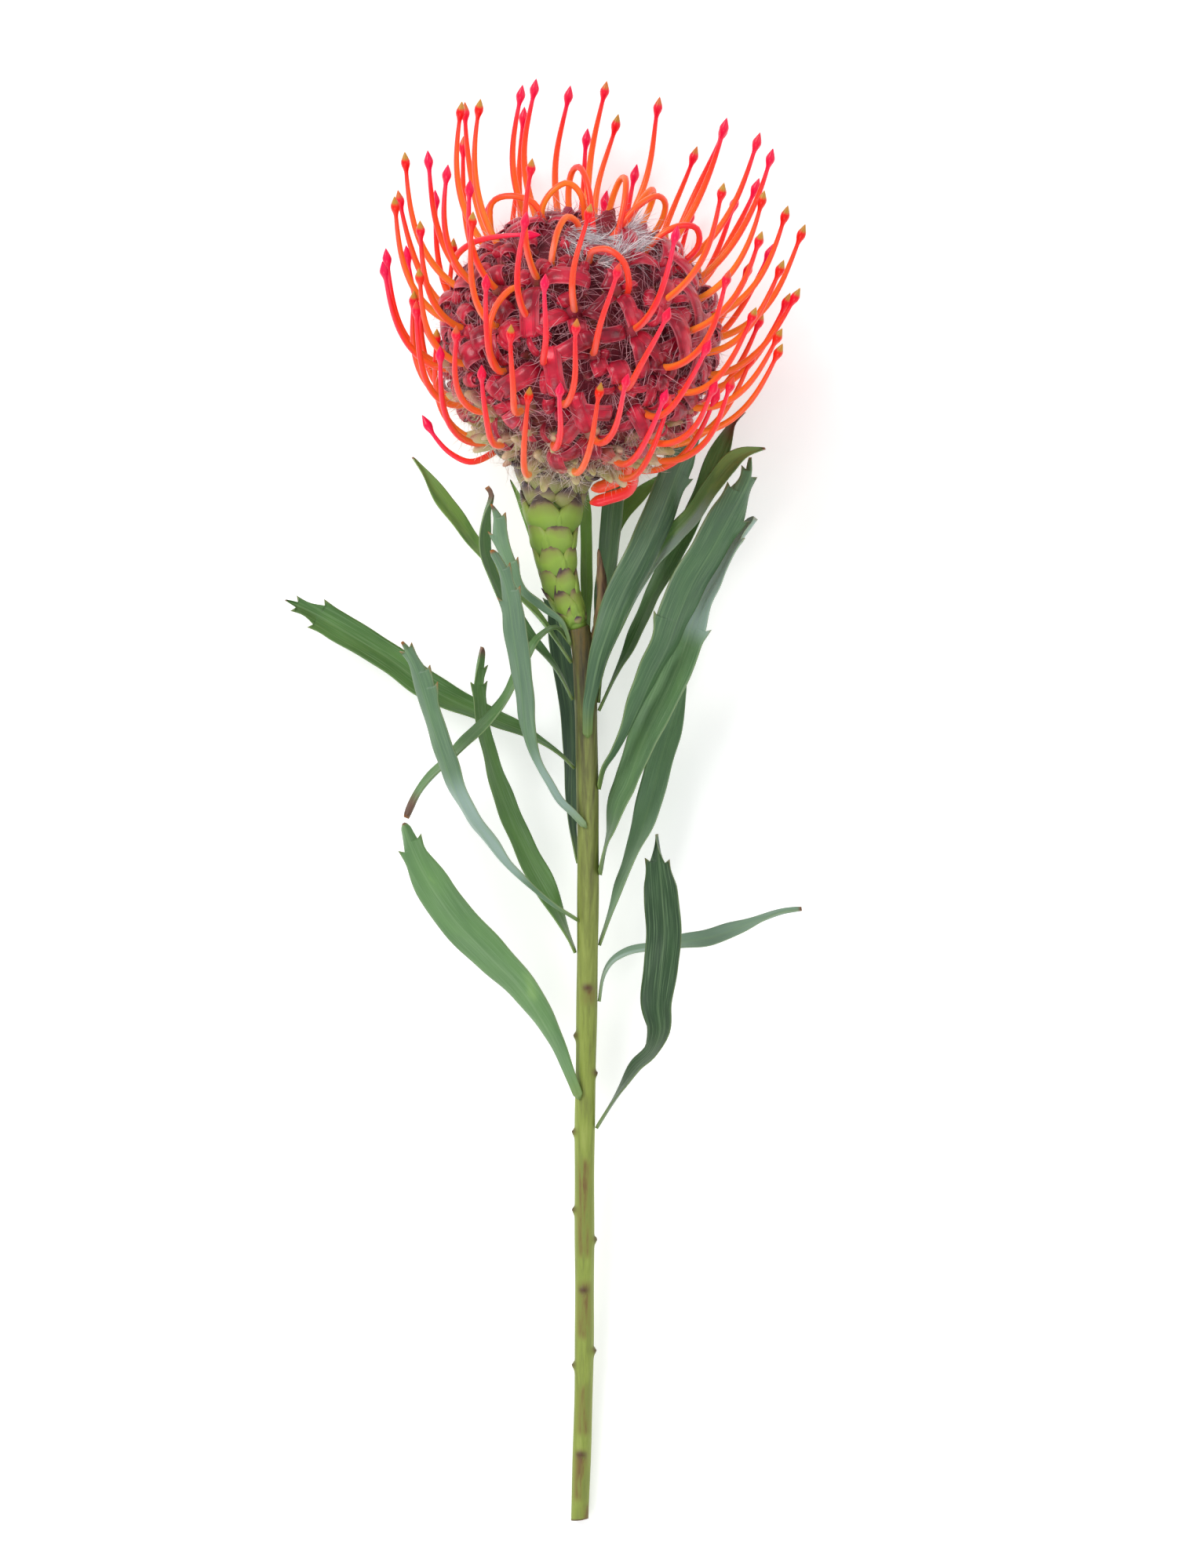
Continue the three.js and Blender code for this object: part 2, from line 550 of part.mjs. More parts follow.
    path: [[16.6, 42, 23.5], [20.2, 50.4, 23.2], [23.9, 58.2, 23], [27.5, 64.1, 22.7], [31.5, 70.8, 22.5],
      [35.5, 75.7, 22.8], [39.3, 79.8, 23], [45.4, 88.6, 24.3], [49.2, 93.6, 25.2], [53.4, 96.8, 26],
      [59.2, 98.4, 27]] },
  { name: "leaf_18", y: 7, side: 20, half: 5.4, turns: [120, 150, 155], teeth: [[5.5, 16.5], [3.7, 10, 48.5]],
    spans: [0.3, 0.45, 0.8, 0.1],
    path: [[16, 12.6, 22], [18.7, 16.8, 23], [21, 21, 24.2], [24.6, 29.4, 26.3], [28.3, 37.8, 28.3],
      [32.5, 46.1, 30], [35.6, 54.5, 31.2], [39.4, 62.9, 32], [44.4, 71.2, 32.5], [49, 79.6, 33],
      [53.4, 88, 33], [54.9, 92.1, 33], [55.1, 95.7, 33]] },
  { name: "leaf_19", y: -16, side: 10, half: 5, turns: [45, 20, 70], teeth: [[], [7, 34]],
    spans: [0.7, 0.4, 0.55, 0.45],
    path: [[16.4, -8.4, 18.5], [17.9, -4.2, 18.7], [20.1, 4.2, 19], [22.1, 8.4, 19.3], [25.2, 16.8, 20.2],
      [28.8, 25.2, 21.3], [33, 33.6, 22.5], [36.5, 42, 23.6], [39.3, 50.4, 24.7], [42.2, 57.8, 25.6],
      [45.8, 63, 26.3], [50.2, 71.4, 27.2], [53.1, 75.6, 27.6], [56.5, 79.8, 28]] },
  { name: "leaf_20", y: -35, side: 345, half: 3.75, turns: [60, 20, 10], teeth: [[5], []],
    spans: [0.3, 0.5, 0.78, 0.42],
    path: [[17.6, -26.9, 15.3], [19.9, -20.6, 14.5], [22.4, -13.7, 13.5], [25.4, -6.3, 12.5],
      [28.1, 2.3, 12], [30.2, 10.5, 12], [32.5, 18.9, 12], [35.3, 28.4, 12], [37.3, 36.8, 12.5]] },
  { name: "leaf_21", y: -84, side: 10, half: 4.8, turns: [66, 10, 38], teeth: [[7.4], [7.8]],
    spans: [0.3, 0.35, 0.83, 0.02],
    path: [[18.1, -77.3, 14], [21.6, -72, 16], [25, -67.2, 18], [28.8, -63.2, 20], [30.9, -57.8, 22],
      [30.4, -50.4, 24], [31.5, -39.9, 26], [32.2, -31.5, 28], [31.7, -23.1, 29], [30.9, -14.3, 30],
      [30, -4.9, 31]] },
  { name: "leaf_22", y: -50, side: 0, half: 2.5, turns: [60, 35, 60], teeth: [[], []],
    spans: [0.3, 0.45, 0.66, 0.2],
    path: [[15.8, -43.3, 14.5], [18.1, -39.3, 14], [22.1, -36.8, 13.5], [30, -35.3, 13],
      [37.4, -34, 12.5], [44.7, -32.8, 12], [52.1, -30.3, 12], [58.8, -27.7, 12.5], [64.7, -25.6, 13],
      [69.3, -25, 13]] },
];

const BLADE_STATIONS = 15;
const NARROWEST = 0.3;

// Half-width of a leaf's edge at a distance from its base: a narrow foot, a long blade and forward teeth
function edgeAt(distance, length, half, spans, teeth) {
  const t = distance / length;
  const [foot, full, wane, end] = spans;
  const swelling = lerp(foot, 1, smooth(t, 0.02, full));
  let width = Math.max(half * swelling * lerp(1, end, smooth(t, wane, 1)), NARROWEST);
  for (const fromTip of teeth) {
    const start = length - fromTip - 5;
    const grown = (distance - start) / 5;
    if (grown > 0 && grown <= 1) width += TOOTH * grown ** 2;
  }
  return width;
}

function leaf({ y, side, half, turns, teeth, spans, path }) {
  const place = stemAt(y);
  const out = outOfStem(place, side);
  const along = new THREE.Vector3().crossVectors(place.front, place.side);
  const foot = place.centre.clone().addScaledVector(out, place.radius + SEAT_GAP + LEAF_THICKNESS / 2);
  const curve = curveThrough([foot.toArray(), ...path]);
  const length = curve.getLength();

  const last = BLADE_STATIONS - 1;
  const distances = Array.from({ length: BLADE_STATIONS }, (_, k) => (length * 0.97 * k) / last);
  for (const fromTip of teeth.flat()) distances.push(length - fromTip - 2.5, length - fromTip, length - fromTip + 0.4);
  distances.sort((a, b) => a - b);
  const stations = distances.filter((d, k) => k === 0 || d - distances[k - 1] > 0.3);

  // The foot lies flat to the stem, with its upper face towards it
  const startTangent = curve.getTangentAt(0);
  const start = levelFrame(startTangent);
  const acrossStem = new THREE.Vector3().crossVectors(out, along);
  const startTurn = THREE.MathUtils.radToDeg(
    Math.atan2(acrossStem.dot(start.front), acrossStem.dot(start.side)),
  );
  const nearest = startTurn + 360 * Math.round((turns[0] - startTurn) / 360);
  const turnAt = (t) => {
    if (t < 0.25) return lerp(nearest, turns[0], smooth(t, 0, 0.25));
    if (t < 0.66) return lerp(turns[0], turns[1], smooth(t, 0.25, 0.66));
    return lerp(turns[1], turns[2], smooth(t, 0.66, 1));
  };

  const rings = stations.map((distance) => {
    const t = distance / length;
    const middle = curve.getPointAt(t);
    const { side: level, front } = levelFrame(curve.getTangentAt(t));
    const turn = rad(turnAt(t));
    const across = level.clone().multiplyScalar(Math.cos(turn)).addScaledVector(front, Math.sin(turn));
    const upper = front.clone().multiplyScalar(Math.cos(turn)).addScaledVector(level, -Math.sin(turn));
    const left = edgeAt(distance, length, half, spans, teeth[0]);
    const right = edgeAt(distance, length, half, spans, teeth[1]);
    const dish = 0.12 * half * smooth(t, 0.05, 0.3);
    return [
      middle.clone().addScaledVector(across, -left).addScaledVector(upper, dish),
      middle.clone().addScaledVector(upper, LEAF_THICKNESS / 2 - dish),
      middle.clone().addScaledVector(across, right).addScaledVector(upper, dish),
      middle.clone().addScaledVector(upper, -LEAF_THICKNESS / 2 - dish),
    ];
  });
  return blade(rings, curve.getPointAt(1));
}

// The skin of a blade from rings of left edge, upper rib, right edge and lower rib, split alike on both faces
function blade(rings, tip) {
  const positions = [...rings.flat(), tip].flatMap((p) => [p.x, p.y, p.z]);
  const index = [0, 1, 3, 1, 2, 3];
  for (let k = 0; k < rings.length - 1; k++) {
    const [l, u, r, d] = [0, 1, 2, 3].map((j) => 4 * k + j);
    index.push(l, l + 4, u + 4, l, u + 4, u, u, u + 4, r + 4, u, r + 4, r);
    index.push(l, d + 4, l + 4, l, d, d + 4, d, r + 4, d + 4, d, r, r + 4);
  }
  const last = 4 * (rings.length - 1);
  const end = 4 * rings.length;
  for (let j = 0; j < 4; j++) index.push(last + ((j + 1) % 4), last + j, end);
  const geometry = new THREE.BufferGeometry();
  geometry.setAttribute("position", new THREE.Float32BufferAttribute(positions, 3));
  geometry.setIndex(index);
  return geometry;
}

// Assembly
const MATERIALS = {
  stem: { color: 0x9aa850, roughness: 0.6, metalness: 0 },
  stalk: { color: 0x93a94b, roughness: 0.6, metalness: 0 },
  head: { color: 0xc23a3a, roughness: 0.7, metalness: 0 },
  leaf: { color: 0x4f7a4a, roughness: 0.5, metalness: 0 },
};

const flower = new THREE.Group();

function add(name, geometry, material) {
  const mesh = new THREE.Mesh(geometry, new THREE.MeshStandardMaterial(MATERIALS[material]));
  mesh.geometry.translate(0, -BACK, 0);
  mesh.name = name;
  flower.add(mesh);
}

add("stem", geometryOf(stem()), "stem");
add("flower_stalk", geometryOf(flowerStalk()), "stalk");
add("flower_head", geometryOf(flowerHead()), "head");
for (const shape of LEAVES) add(shape.name, geometryOf(solidOf(leaf(shape))), "leaf");

export default flower;
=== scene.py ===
# %% [markdown]
# # A cut pincushion protea, laid down
#
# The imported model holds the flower's plain solids: a stem, a flower stalk, a flower head and twenty-two
# leaves. This lesson replaces each one with finer pieces in the same place, with hairs, veins and colour.
# The flower lies on a pale surface, and the camera looks straight down on it.

# %% The frame and its box
import json
import math

import bmesh
import bpy
import numpy as np
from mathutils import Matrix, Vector

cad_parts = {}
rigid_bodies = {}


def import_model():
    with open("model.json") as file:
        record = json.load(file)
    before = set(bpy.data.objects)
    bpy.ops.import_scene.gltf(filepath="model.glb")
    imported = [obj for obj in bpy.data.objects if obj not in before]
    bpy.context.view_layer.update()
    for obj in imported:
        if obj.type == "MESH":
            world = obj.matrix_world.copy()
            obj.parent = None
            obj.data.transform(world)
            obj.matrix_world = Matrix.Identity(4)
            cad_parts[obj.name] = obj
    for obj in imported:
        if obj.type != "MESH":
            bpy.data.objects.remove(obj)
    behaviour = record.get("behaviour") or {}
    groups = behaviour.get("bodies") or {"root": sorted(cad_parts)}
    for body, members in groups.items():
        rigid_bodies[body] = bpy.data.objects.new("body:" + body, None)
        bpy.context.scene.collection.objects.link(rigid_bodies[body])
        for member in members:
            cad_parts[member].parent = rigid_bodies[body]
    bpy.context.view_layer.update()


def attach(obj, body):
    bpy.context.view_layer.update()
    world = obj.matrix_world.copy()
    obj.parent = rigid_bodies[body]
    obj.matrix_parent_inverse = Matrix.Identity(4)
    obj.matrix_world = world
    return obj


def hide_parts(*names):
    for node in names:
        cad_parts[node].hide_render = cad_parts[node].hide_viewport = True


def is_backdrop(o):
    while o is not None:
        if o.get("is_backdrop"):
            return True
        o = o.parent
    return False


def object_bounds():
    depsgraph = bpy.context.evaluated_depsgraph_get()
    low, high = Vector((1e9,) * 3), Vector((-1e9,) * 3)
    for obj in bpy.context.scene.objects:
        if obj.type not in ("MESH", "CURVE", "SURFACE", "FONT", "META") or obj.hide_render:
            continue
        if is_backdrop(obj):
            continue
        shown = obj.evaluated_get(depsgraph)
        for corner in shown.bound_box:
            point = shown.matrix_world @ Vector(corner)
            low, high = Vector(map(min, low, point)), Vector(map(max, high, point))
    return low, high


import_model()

# %% [markdown]
# Blender works in metres, and a flower is easier to describe in millimetres.
# Every point below is in millimetres until the mesh is made. The source sets the whole flower back a little
# along Y, so the same step is made here, once, where points become a mesh.

# %% Units, directions and small sums
MM = 0.001
SET_BACK = np.array([0.0, 3.0, 0.0])
UP = np.array([0.0, 0.0, 1.0])


def unit(vectors):
    """Vectors of length one."""
    vectors = np.asarray(vectors, float)
    return vectors / np.linalg.norm(vectors, axis=-1, keepdims=True)


def lerp(a, b, t):
    return a + (b - a) * t


def smooth(value, low, high):
    """A soft step from 0 to 1 as a value passes from low to high."""
    t = np.clip((value - low) / (high - low), 0, 1)
    return t * t * (3 - 2 * t)


def level_frame(heading):
    """Side and front directions square to a heading, with the side kept level."""
    side = unit(np.cross(heading, UP))
    return side, np.cross(side, heading)


print("the flower is set back along Y by", SET_BACK[1], "mm")

# %% [markdown]
# The source draws its random numbers with one small formula, so the florets can be found again here.
# The same seed and the same order of draws give the same flower.

# %% Seeded draws
SEED = 41


class Draws:
    """Random numbers that are the same on every run."""

    def __init__(self, seed):
        self.state = seed

    def next(self):
        self.state = (1664525 * self.state + 1013904223) % 2**32
        return self.state / 2**32

    def spread(self, amount):
        return (2 * self.next() - 1) * amount


print("first draw of seed", SEED, "is", round(Draws(SEED).next(), 4))

# %% [markdown]
# A stem, a style or a leaf's midrib is a smooth line through a few points.
# This is the same centripetal curve as in the source, measured along its length, so a finer piece
# keeps the plain solid's path.

# %% Smooth lines
class Line:
    """A smooth line through points in mm, with places on it from 0 to 1 by length."""

    def __init__(self, points, samples=40):
        given = [np.array(p, float) for p in points]
        ends = [2 * given[0] - given[1], *given, 2 * given[-1] - given[-2]]
        dense = [given[0]]
        for a, b, c, d in zip(ends, ends[1:], ends[2:], ends[3:]):
            da, db, dc = (np.linalg.norm(q - p) ** 0.5 for p, q in ((a, b), (b, c), (c, d)))
            leave = ((b - a) / da - (c - a) / (da + db) + (c - b) / db) * db
            arrive = ((c - b) / db - (d - b) / (db + dc) + (d - c) / dc) * db
            for w in np.linspace(0, 1, samples + 1)[1:]:
                square = (3 * (c - b) - 2 * leave - arrive) * w**2
                dense.append(b + leave * w + square + (2 * (b - c) + leave + arrive) * w**3)
        self.dense = np.array(dense)
        steps = np.linalg.norm(np.diff(self.dense, axis=0), axis=1)
        self.reach = np.concatenate([[0], np.cumsum(steps)])
        self.length = self.reach[-1]

    def at(self, t):
        target = np.clip(t, 0, 1) * self.length
        return np.stack([np.interp(target, self.reach, axis) for axis in self.dense.T], -1)

    def heading(self, t, step=0.003):
        t = np.asarray(t, float)
        return unit(self.at(t + step) - self.at(t - step))


arch = Line([(0, 0, 0), (10, 5, 0), (20, 0, 0)])
print("an arch 20 mm wide and 5 mm high is", round(arch.length, 1), "mm long")

# %% [markdown]
# One helper adds a node to any tree, with its settings, its values and its links.
# One turns the hex colours that an eye can read from a chart into the linear values that Blender mixes.
# Some sockets share a name, so they go by number: a Mix node takes two colours in 6 and 7 and gives 2, and a
# random value has its least and most in 0 and 1 for a vector, 2 and 3 for a number, 4 and 5 for a whole one.

# %% Colours and nodes
def linear(code):
    """An sRGB hex colour as linear red, green, blue and alpha."""
    channels = [int(code[k : k + 2], 16) / 255 for k in (1, 3, 5)]
    return tuple(c / 12.92 if c <= 0.04045 else ((c + 0.055) / 1.055) ** 2.4 for c in channels) + (1.0,)


def add_node(tree, kind, inputs=None, stops=None, **settings):
    """A new node. An input is a value or a socket to link from. Stops are a ramp's places and colours."""
    node = tree.nodes.new(kind)
    for label, value in settings.items():
        setattr(node, label, value)
    for label, value in (inputs or {}).items():
        if isinstance(value, bpy.types.NodeSocket):
            tree.links.new(value, node.inputs[label])
        elif isinstance(value, str) and value.startswith("#"):
            node.inputs[label].default_value = linear(value)
        else:
            node.inputs[label].default_value = value
    if stops:
        elements = node.color_ramp.elements
        elements.remove(elements[1])
        elements[0].position = stops[0][0]
        elements[0].color = linear(stops[0][1])
        for place, code in stops[1:]:
            elements.new(place).color = linear(code)
    return node


def new_finish(name, **values):
    """A material with its Principled shader, whose uniform values are set on the shader's own sockets."""
    material = bpy.data.materials.new(name)
    material.use_nodes = True
    tree = material.node_tree
    shader = tree.nodes["Principled BSDF"]
    for label, value in values.items():
        socket = shader.inputs[label.replace("_", " ")]
        socket.default_value = linear(value) if isinstance(value, str) else value
    return material, tree, shader


print("the grey #808080 is", round(linear("#808080")[0], 3), "in linear light")

# %% [markdown]
# Most pieces are lofts: closed rings of points, one after another, with both ends closed.
# Each vertex may carry values, such as how far along its piece it is, which the materials read later.
# The normals are recalculated on every closed mesh, so faces point outwards.

# %% Meshes
def new_piece(name, points, faces, edges=(), **values):
    """A mesh object from points in metres. Each keyword is a value, or a vector, for every point."""
    mesh = bpy.data.meshes.new(name)
    mesh.from_pydata(np.asarray(points, float).tolist(), list(edges), faces)
    for label, numbers in values.items():
        numbers = np.asarray(numbers, np.float32)
        vector = numbers.ndim == 2
        layer = mesh.attributes.new(label, "FLOAT_VECTOR" if vector else "FLOAT", "POINT")
        layer.data.foreach_set("vector" if vector else "value", numbers.ravel())
    if faces:
        shape = bmesh.new()
        shape.from_mesh(mesh)
        bmesh.ops.recalc_face_normals(shape, faces=shape.faces)
        shape.to_mesh(mesh)
        shape.free()
        mesh.shade_smooth()
    piece = bpy.data.objects.new(name, mesh)
    bpy.context.scene.collection.objects.link(piece)
    return piece


def loft(name, rings, **values):
    """A closed solid through rings of points in metres. Each ring has the same, even number of points."""
    rings = np.asarray(rings, float)
    count, sides = rings.shape[:2]
    faces = []
    for k in range(count - 1):
        for j in range(sides):
            a, b = k * sides + j, k * sides + (j + 1) % sides
            faces.append((a, b, b + sides, a + sides))
    for start in (0, (count - 1) * sides):
        for j in range(sides // 2 - 1):
            faces.append((start + j, start + j + 1, start + sides - 2 - j, start + sides - 1 - j))
    return new_piece(name, rings.reshape(-1, 3), faces, **values)


def in_frame(points):
    """Measured millimetres as metres in the part's frame."""
    return (np.asarray(points, float) - SET_BACK) * MM


def seat(piece, slot, *nodes):
    """Each piece moves with the part's one body, and stands for the CAD nodes that it is given."""
    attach(piece, "root")
    if nodes:
        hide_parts(*nodes)
    triangles = sum(len(face.vertices) - 2 for face in piece.data.polygons)
    print(f"{piece.name}: {triangles} triangles")


# %% [markdown]
# ## The studio
# The photograph was taken from straight above, over a bright surface that throws almost no shadow.
# A white board that glows a little like a light table, broad soft lights and a pale world do the same.
# The camera is far away with a long lens, so the stem and the head are seen without much perspective.

# %% Camera, floor and light
MM_PER_PIXEL = 0.21
IMAGE_HEIGHT = 1999
VIEW_LEVEL = 25.0  # the height at which a photo pixel has its measured size, mm
CAMERA_RISE = 2600.0
VIEW_CENTRE = np.array([11.97, 8.5, VIEW_LEVEL + CAMERA_RISE])
SENSOR = 36.0

scene = bpy.context.scene
camera = bpy.data.objects.new("camera", bpy.data.cameras.new("camera"))
scene.collection.objects.link(camera)
camera.location = in_frame(VIEW_CENTRE)
camera.data.sensor_width = SENSOR
camera.data.lens = SENSOR * CAMERA_RISE / (IMAGE_HEIGHT * MM_PER_PIXEL)
camera.data.clip_start, camera.data.clip_end = 0.1, 20
scene.camera = camera
scene.view_settings.view_transform = "Standard"

BOARD_HALF = 3.0  # metres
BOARD_DROP = 0.0002  # metres below the flower, so that the two never share a plane
paper = new_finish(
    "glowing_white_board",
    Base_Color="#f7f7f5",
    Roughness=0.9,
    Emission_Color="#ffffff",
    Emission_Strength=0.34,
)[0]
corners = [(BOARD_HALF * x, BOARD_HALF * y, 0) for x, y in ((-1, -1), (1, -1), (1, 1), (-1, 1))]
board = new_piece("floor", corners, [(0, 1, 2, 3)])
board.location.z = -BOARD_DROP
board.data.materials.append(paper)
board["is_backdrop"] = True

scene.world = bpy.data.worlds.new("pale_studio")
scene.world.use_nodes = True
sky = scene.world.node_tree.nodes["Background"].inputs
sky["Color"].default_value = linear("#f4f7fa")
sky["Strength"].default_value = 0.46


FLOWER_MIDDLE = Vector((0.01, 0.03, 0.03))  # metres


def soft_light(name, place, size, power):
    """A square softbox at a place in metres that faces the middle of the flower."""
    light = bpy.data.objects.new(name, bpy.data.lights.new(name, "AREA"))
    light.data.size = size
    light.data.energy = power
    light.location = place
    aim = FLOWER_MIDDLE - Vector(place)
    light.rotation_euler = aim.to_track_quat("-Z", "Y").to_euler()
    scene.collection.objects.link(light)


soft_light("softbox_upper_left", (-0.75, 0.55, 1.0), 0.7, 9.5)
soft_light("softbox_right", (0.9, 0.1, 0.9), 0.9, 4)
soft_light("softbox_low", (-0.3, -0.9, 0.8), 0.7, 4)
print("camera lens, mm:", round(camera.data.lens, 1))

# %% [markdown]
# ## Node trees that set shapes in place
# A flower head repeats a few shapes many times. Geometry Nodes can put a shape on every seat of a list:
# each seat is a vertex with an outward direction, a turn, a size and a kind of shape.
# A little smooth noise then pulls the copies out of shape, as no two florets are alike.
# The tree ends in Realize Instances and Set Material, because only real meshes are exported.

# %% A tree that sets shapes on seats
def new_tree(name, **sockets):
    """An empty Geometry Nodes tree with named inputs, and its input and output sockets."""
    tree = bpy.data.node_groups.new(name, "GeometryNodeTree")
    tree.interface.new_socket("Geometry", in_out="OUTPUT", socket_type="NodeSocketGeometry")
    tree.interface.new_socket("Geometry", in_out="INPUT", socket_type="NodeSocketGeometry")
    for label, kind in sockets.items():
        tree.interface.new_socket(label, in_out="INPUT", socket_type="NodeSocket" + kind)
    given = add_node(tree, "NodeGroupInput").outputs
    return tree, given, add_node(tree, "NodeGroupOutput").inputs["Geometry"]


def attribute(tree, name, kind="FLOAT_VECTOR"):
    return add_node(tree, "GeometryNodeInputNamedAttribute", {"Name": name}, data_type=kind).outputs[0]


def end_tree(tree, geometry, given, out):
    """The last steps of every tree: real, smooth meshes with one material."""
    real = add_node(tree, "GeometryNodeRealizeInstances", {"Geometry": geometry}).outputs[0]
    soft = add_node(tree, "GeometryNodeSetShadeSmooth", {"Geometry": real}).outputs[0]
    finish = {"Geometry": soft, "Material": given["Finish"]}
    tree.links.new(add_node(tree, "GeometryNodeSetMaterial", finish).outputs[0], out)


def seat_shapes_tree():
    sockets = {"Shapes": "Collection", "Finish": "Material", "Wobble": "Float", "Wobble size": "Float"}
    tree, given, out = new_tree("set_shapes_on_seats", **sockets)
    shapes = add_node(
        tree,
        "GeometryNodeCollectionInfo",
        {"Collection": given["Shapes"], "Separate Children": True, "Reset Children": True},
    )
    axes = {"Primary Axis": attribute(tree, "out"), "Secondary Axis": attribute(tree, "turn")}
    turn = add_node(tree, "FunctionNodeAxesToRotation", axes, primary_axis="Z", secondary_axis="X")
    copies = add_node(
        tree,
        "GeometryNodeInstanceOnPoints",
        {
            "Points": given["Geometry"],
            "Instance": shapes.outputs[0],
            "Pick Instance": True,
            "Instance Index": attribute(tree, "kind", "INT"),
            "Rotation": turn.outputs[0],
            "Scale": attribute(tree, "size"),
        },
    )
    real = add_node(tree, "GeometryNodeRealizeInstances", {"Geometry": copies.outputs[0]})
    cloud = add_node(tree, "ShaderNodeTexNoise", {"Scale": given["Wobble size"], "Detail": 1.0})
    from_grey = {0: cloud.outputs["Color"], 1: (0.5,) * 3}
    centred = add_node(tree, "ShaderNodeVectorMath", from_grey, operation="SUBTRACT")
    amount = {0: centred.outputs[0], "Scale": given["Wobble"]}
    pull = add_node(tree, "ShaderNodeVectorMath", amount, operation="SCALE")
    shift = {"Geometry": real.outputs[0], "Offset": pull.outputs[0]}
    moved = add_node(tree, "GeometryNodeSetPosition", shift)
    end_tree(tree, moved.outputs[0], given, out)
    return tree


def keep_above_floor(mesh):
    """The flower lies on the floor, so what would hang below it is pressed flat there."""
    points = np.empty(3 * len(mesh.vertices))
    mesh.vertices.foreach_get("co", points)
    points[2::3] = np.maximum(points[2::3], 0)
    mesh.vertices.foreach_set("co", points)
    mesh.update()


def dress(source, tree, name, **inputs):
    """Runs a tree on a mesh and keeps what it makes as a new, plain mesh."""
    modifier = source.modifiers.new("dress", "NODES")
    modifier.node_group = tree
    for socket in tree.interface.items_tree:
        label = socket.name.replace(" ", "_")
        if socket.in_out == "INPUT" and label in inputs:
            modifier[socket.identifier] = inputs[label]
    depsgraph = bpy.context.evaluated_depsgraph_get()
    mesh = bpy.data.meshes.new_from_object(
        source.evaluated_get(depsgraph), preserve_all_data_layers=True, depsgraph=depsgraph
    )
    mesh.name = name
    keep_above_floor(mesh)
    piece = bpy.data.objects.new(name, mesh)
    scene.collection.objects.link(piece)
    bpy.data.objects.remove(source)
    return piece


SEAT_SHAPES = seat_shapes_tree()


def seats(name, rows):
    """A mesh of loose vertices, one for each (place, out, turn, size, kind, age)."""
    place, out, turn, size, kind, age = (np.array(column, float) for column in zip(*rows))
    points = new_piece(name, in_frame(place), [], out=out, turn=turn, size=size, age=age)
    layer = points.data.attributes.new("kind", "INT", "POINT")
    layer.data.foreach_set("value", kind.astype(int))
    return points


def shape_set(name, shapes):
    """Shapes to copy, in a collection of their own that isn't part of the scene."""
    group = bpy.data.collections.new(name)
    for shape in shapes:
        group.objects.link(shape)
        scene.collection.objects.unlink(shape)
    return group


def drop(group):
    for shape in list(group.objects):
        bpy.data.objects.remove(shape)
    bpy.data.collections.remove(group)


print("tree:", SEAT_SHAPES.name, "with", len(SEAT_SHAPES.nodes), "nodes")

# %% [markdown]
# ## The head's form
# A pincushion is a round cone packed with about a hundred florets. Each one is a thin tube whose top has
# split and curled back, and a long stiff style that has sprung out of it.
# The florets follow the golden angle from the crown to the foot, as seeds do in a sunflower.
# These are the values of the source, so the finer head keeps the plain head's form.

# %% Where the florets are
HEAD_CENTRE = np.array([9.2, 125.6, 40.5])
HEAD_LEAN = 11  # degrees to the right of the stem
HEAD_TILT = 28  # degrees up from the surface
CORE_SIDE, CORE_TOP, CORE_BOTTOM, FOOT = 32, 33, 36, 33
FLORETS = 100
IN_BUD = 12  # florets round the crown whose style isn't free yet
CROWN_ANGLE, SKIRT_ANGLE = 14, 148
STYLE_LENGTH = 44
STYLE_RADIUS = 0.85
GOLDEN = math.pi * (3 - math.sqrt(5))

lean, tilt = math.radians(HEAD_LEAN), math.radians(HEAD_TILT)
AXIS = np.array([math.sin(lean) * math.cos(tilt), math.cos(lean) * math.cos(tilt), math.sin(tilt)])
RIGHT = unit(np.cross(AXIS, UP))
FRONT = np.cross(RIGHT, AXIS)
FOOT_CENTRE = HEAD_CENTRE - FOOT * AXIS


def core_point(polar, azimuth, grow=0.0):
    """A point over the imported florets, its outward direction, and the direction away from the axis."""
    p = math.radians(polar)
    height = (CORE_TOP if math.cos(p) > 0 else CORE_BOTTOM) + grow
    width = CORE_SIDE + grow
    around = RIGHT * math.cos(azimuth) + FRONT * math.sin(azimuth)
    place = HEAD_CENTRE + around * width * math.sin(p) + AXIS * height * math.cos(p)
    out = unit(around * math.sin(p) / width + AXIS * math.cos(p) / height)
    return place, out, around


def place_florets():
    draws = Draws(SEED)
    top, foot = math.cos(math.radians(CROWN_ANGLE)), math.cos(math.radians(SKIRT_ANGLE))
    found = []
    for k in range(FLORETS):
        polar = math.degrees(math.acos(lerp(top, foot, k / (FLORETS - 1))))
        found.append(
            {
                "index": k,
                "polar": polar + draws.spread(2),
                "azimuth": k * GOLDEN + draws.spread(0.07),
                "curl_turn": draws.spread(1.1),
                "curl_size": 1 + draws.spread(0.18),
                "length": STYLE_LENGTH * (1 + draws.spread(0.07)),
                "lean": draws.spread(5),
                "sway": draws.spread(0.16),
            }
        )
    return found


florets = place_florets()
print("florets:", len(florets), "round an axis of", AXIS.round(3))
